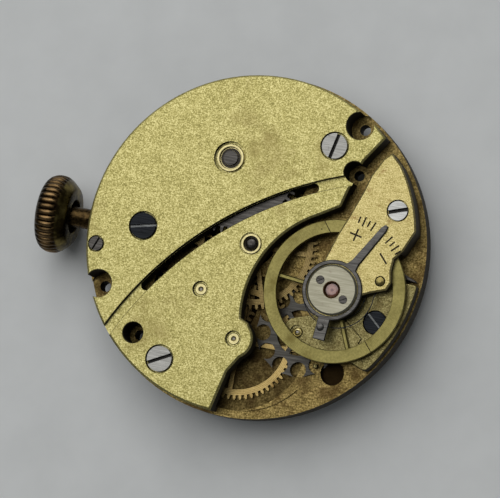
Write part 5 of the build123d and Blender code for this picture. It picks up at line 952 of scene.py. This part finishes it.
# Each bar of the signs: the sign's turn from the pointer, the bar's turn, and its floor. The two
# bars that cross have floors of their own, so that no faces lie on each other.
SIGN_BARS = ((18, 18, SCALE_FLOOR), (18, 108, 3.82), (-18, 72, SCALE_FLOOR))
scale_cuts += [
    stroke(polar(SIGN_REACH, POINTER + side, BALANCE), POINTER + lie, BAR_L, BAR_W, floor,
           OVER_COCK)
    for side, lie, floor in SIGN_BARS]
# The stud's plug stands in the cock as a low brass dome with a dark seam round it.
stud_low, stud_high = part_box("hairspring_stud")
STUD = ((stud_low.x + stud_high.x) / 2 / MM, (stud_low.y + stud_high.y) / 2 / MM)
scale_cuts.append(ring_drill(STUD, 0.30, 0.40, COCK_TOP - 0.10, COCK_TOP + 0.20, steps=48))
plug = turned([(0, COCK_TOP - 0.04), (0.34, COCK_TOP - 0.04), (0.34, COCK_TOP),
               (0.30, COCK_TOP + 0.05), (0.20, COCK_TOP + 0.085), (0.10, COCK_TOP + 0.10),
               (0, COCK_TOP + 0.102)], STUD, steps=48)
finish_piece("hairspring_stud_head", plug, [plug_brass], "plates")
finish_piece("balance_cock_engraved", cad_blank("balance_cock"), [cock_gilt],
             "plates", ["balance_cock"], [(gathered(scale_cuts), groove_black)])


def pale_board():
    """A matt painted board: hardly any tone of its own.

    A roller leaves dimples of about 0.5 mm, too fine to show, so they are drawn at 3 mm.
    """
    finish, tree, place = new_finish("pale_board")
    grain = add(tree, "ShaderNodeTexNoise", {"Vector": place, "Scale": 0.3, "Detail": 3.0})
    colour = add(tree, "ShaderNodeValToRGB", {"Fac": grain}, [(0.3, "#E6E8E7"), (0.7, "#ECEEED")])
    shader = add(tree, "ShaderNodeBsdfPrincipled", {"Base Color": colour, "Roughness": 0.85})
    add(tree, "ShaderNodeOutputMaterial", {"Surface": shader})
    return finish


BOARD_HALF = 600
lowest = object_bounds()[0][2]
board = bmesh.new()
bmesh.ops.create_grid(board, x_segments=2, y_segments=2, size=BOARD_HALF * MM,
                      matrix=Matrix.Translation((0, 0, lowest)))
table = bpy.data.objects.new("table_board", mesh_of("table_board", board, [pale_board()]))
bpy.context.scene.collection.objects.link(table)

# The camera stands a quarter of a metre off, leaning to the lower right of the watch, as the
# photograph was taken. Its lean, its turn and the picture's middle fit the plate's circle.
LEAN_X, LEAN_Y, PICTURE_TURN = -7.6, -12.8, 10.985
CAMERA_OFF = 240
FOCAL_LENGTH, SENSOR_WIDTH = 227.9, 36.0
MIDDLE_IN_PICTURE = (0.87, -0.02)
MIDDLE_ON_PLATE = Vector((-0.005, -0.041, 0))
view_turn = Matrix.Rotation(radians(LEAN_X), 3, "X") @ Matrix.Rotation(radians(LEAN_Y), 3, "Y")
plan_turn = Matrix.Rotation(radians(PICTURE_TURN), 3, "Z")


def in_view(x, y, z):
    """The place of a point given in the camera's own directions, about the picture's middle."""
    seen = Vector((x - MIDDLE_IN_PICTURE[0], y - MIDDLE_IN_PICTURE[1], z))
    return plan_turn @ (view_turn.transposed() @ seen - MIDDLE_ON_PLATE) * MM


lens = bpy.data.cameras.new("photograph")
lens.sensor_fit = "HORIZONTAL"
lens.sensor_width = SENSOR_WIDTH
lens.lens = FOCAL_LENGTH
lens.clip_start = 0.01
camera = bpy.data.objects.new("photograph", lens)
aim = (plan_turn @ view_turn.transposed()).to_4x4()
camera.matrix_world = Matrix.Translation(in_view(0, 0, CAMERA_OFF)) @ aim
bpy.context.scene.collection.objects.link(camera)
bpy.context.scene.camera = camera


def soft_light(name, x, y, z, width, power):
    """A square soft box at a place in the camera's directions, turned to the watch."""
    light = bpy.data.lights.new(name, "AREA")
    light.shape = "SQUARE"
    light.size = width * MM
    light.energy = power
    lamp = bpy.data.objects.new(name, light)
    place = in_view(x, y, z)
    facing = place.to_track_quat("Z", "Y").to_matrix().to_4x4()
    lamp.matrix_world = Matrix.Translation(place) @ facing
    bpy.context.scene.collection.objects.link(lamp)


soft_light("overhead_softbox", -240, 370, 430, width=800, power=2.68)
soft_light("window_light", -60, 420, 300, width=120, power=0.08)

world = bpy.data.worlds.new("studio_air")
world.use_nodes = True
world.node_tree.nodes["Background"].inputs["Color"].default_value = linear("#D0D4D6")
world.node_tree.nodes["Background"].inputs["Strength"].default_value = 0.16
bpy.context.scene.world = world
bpy.context.scene.view_settings.view_transform = "Standard"
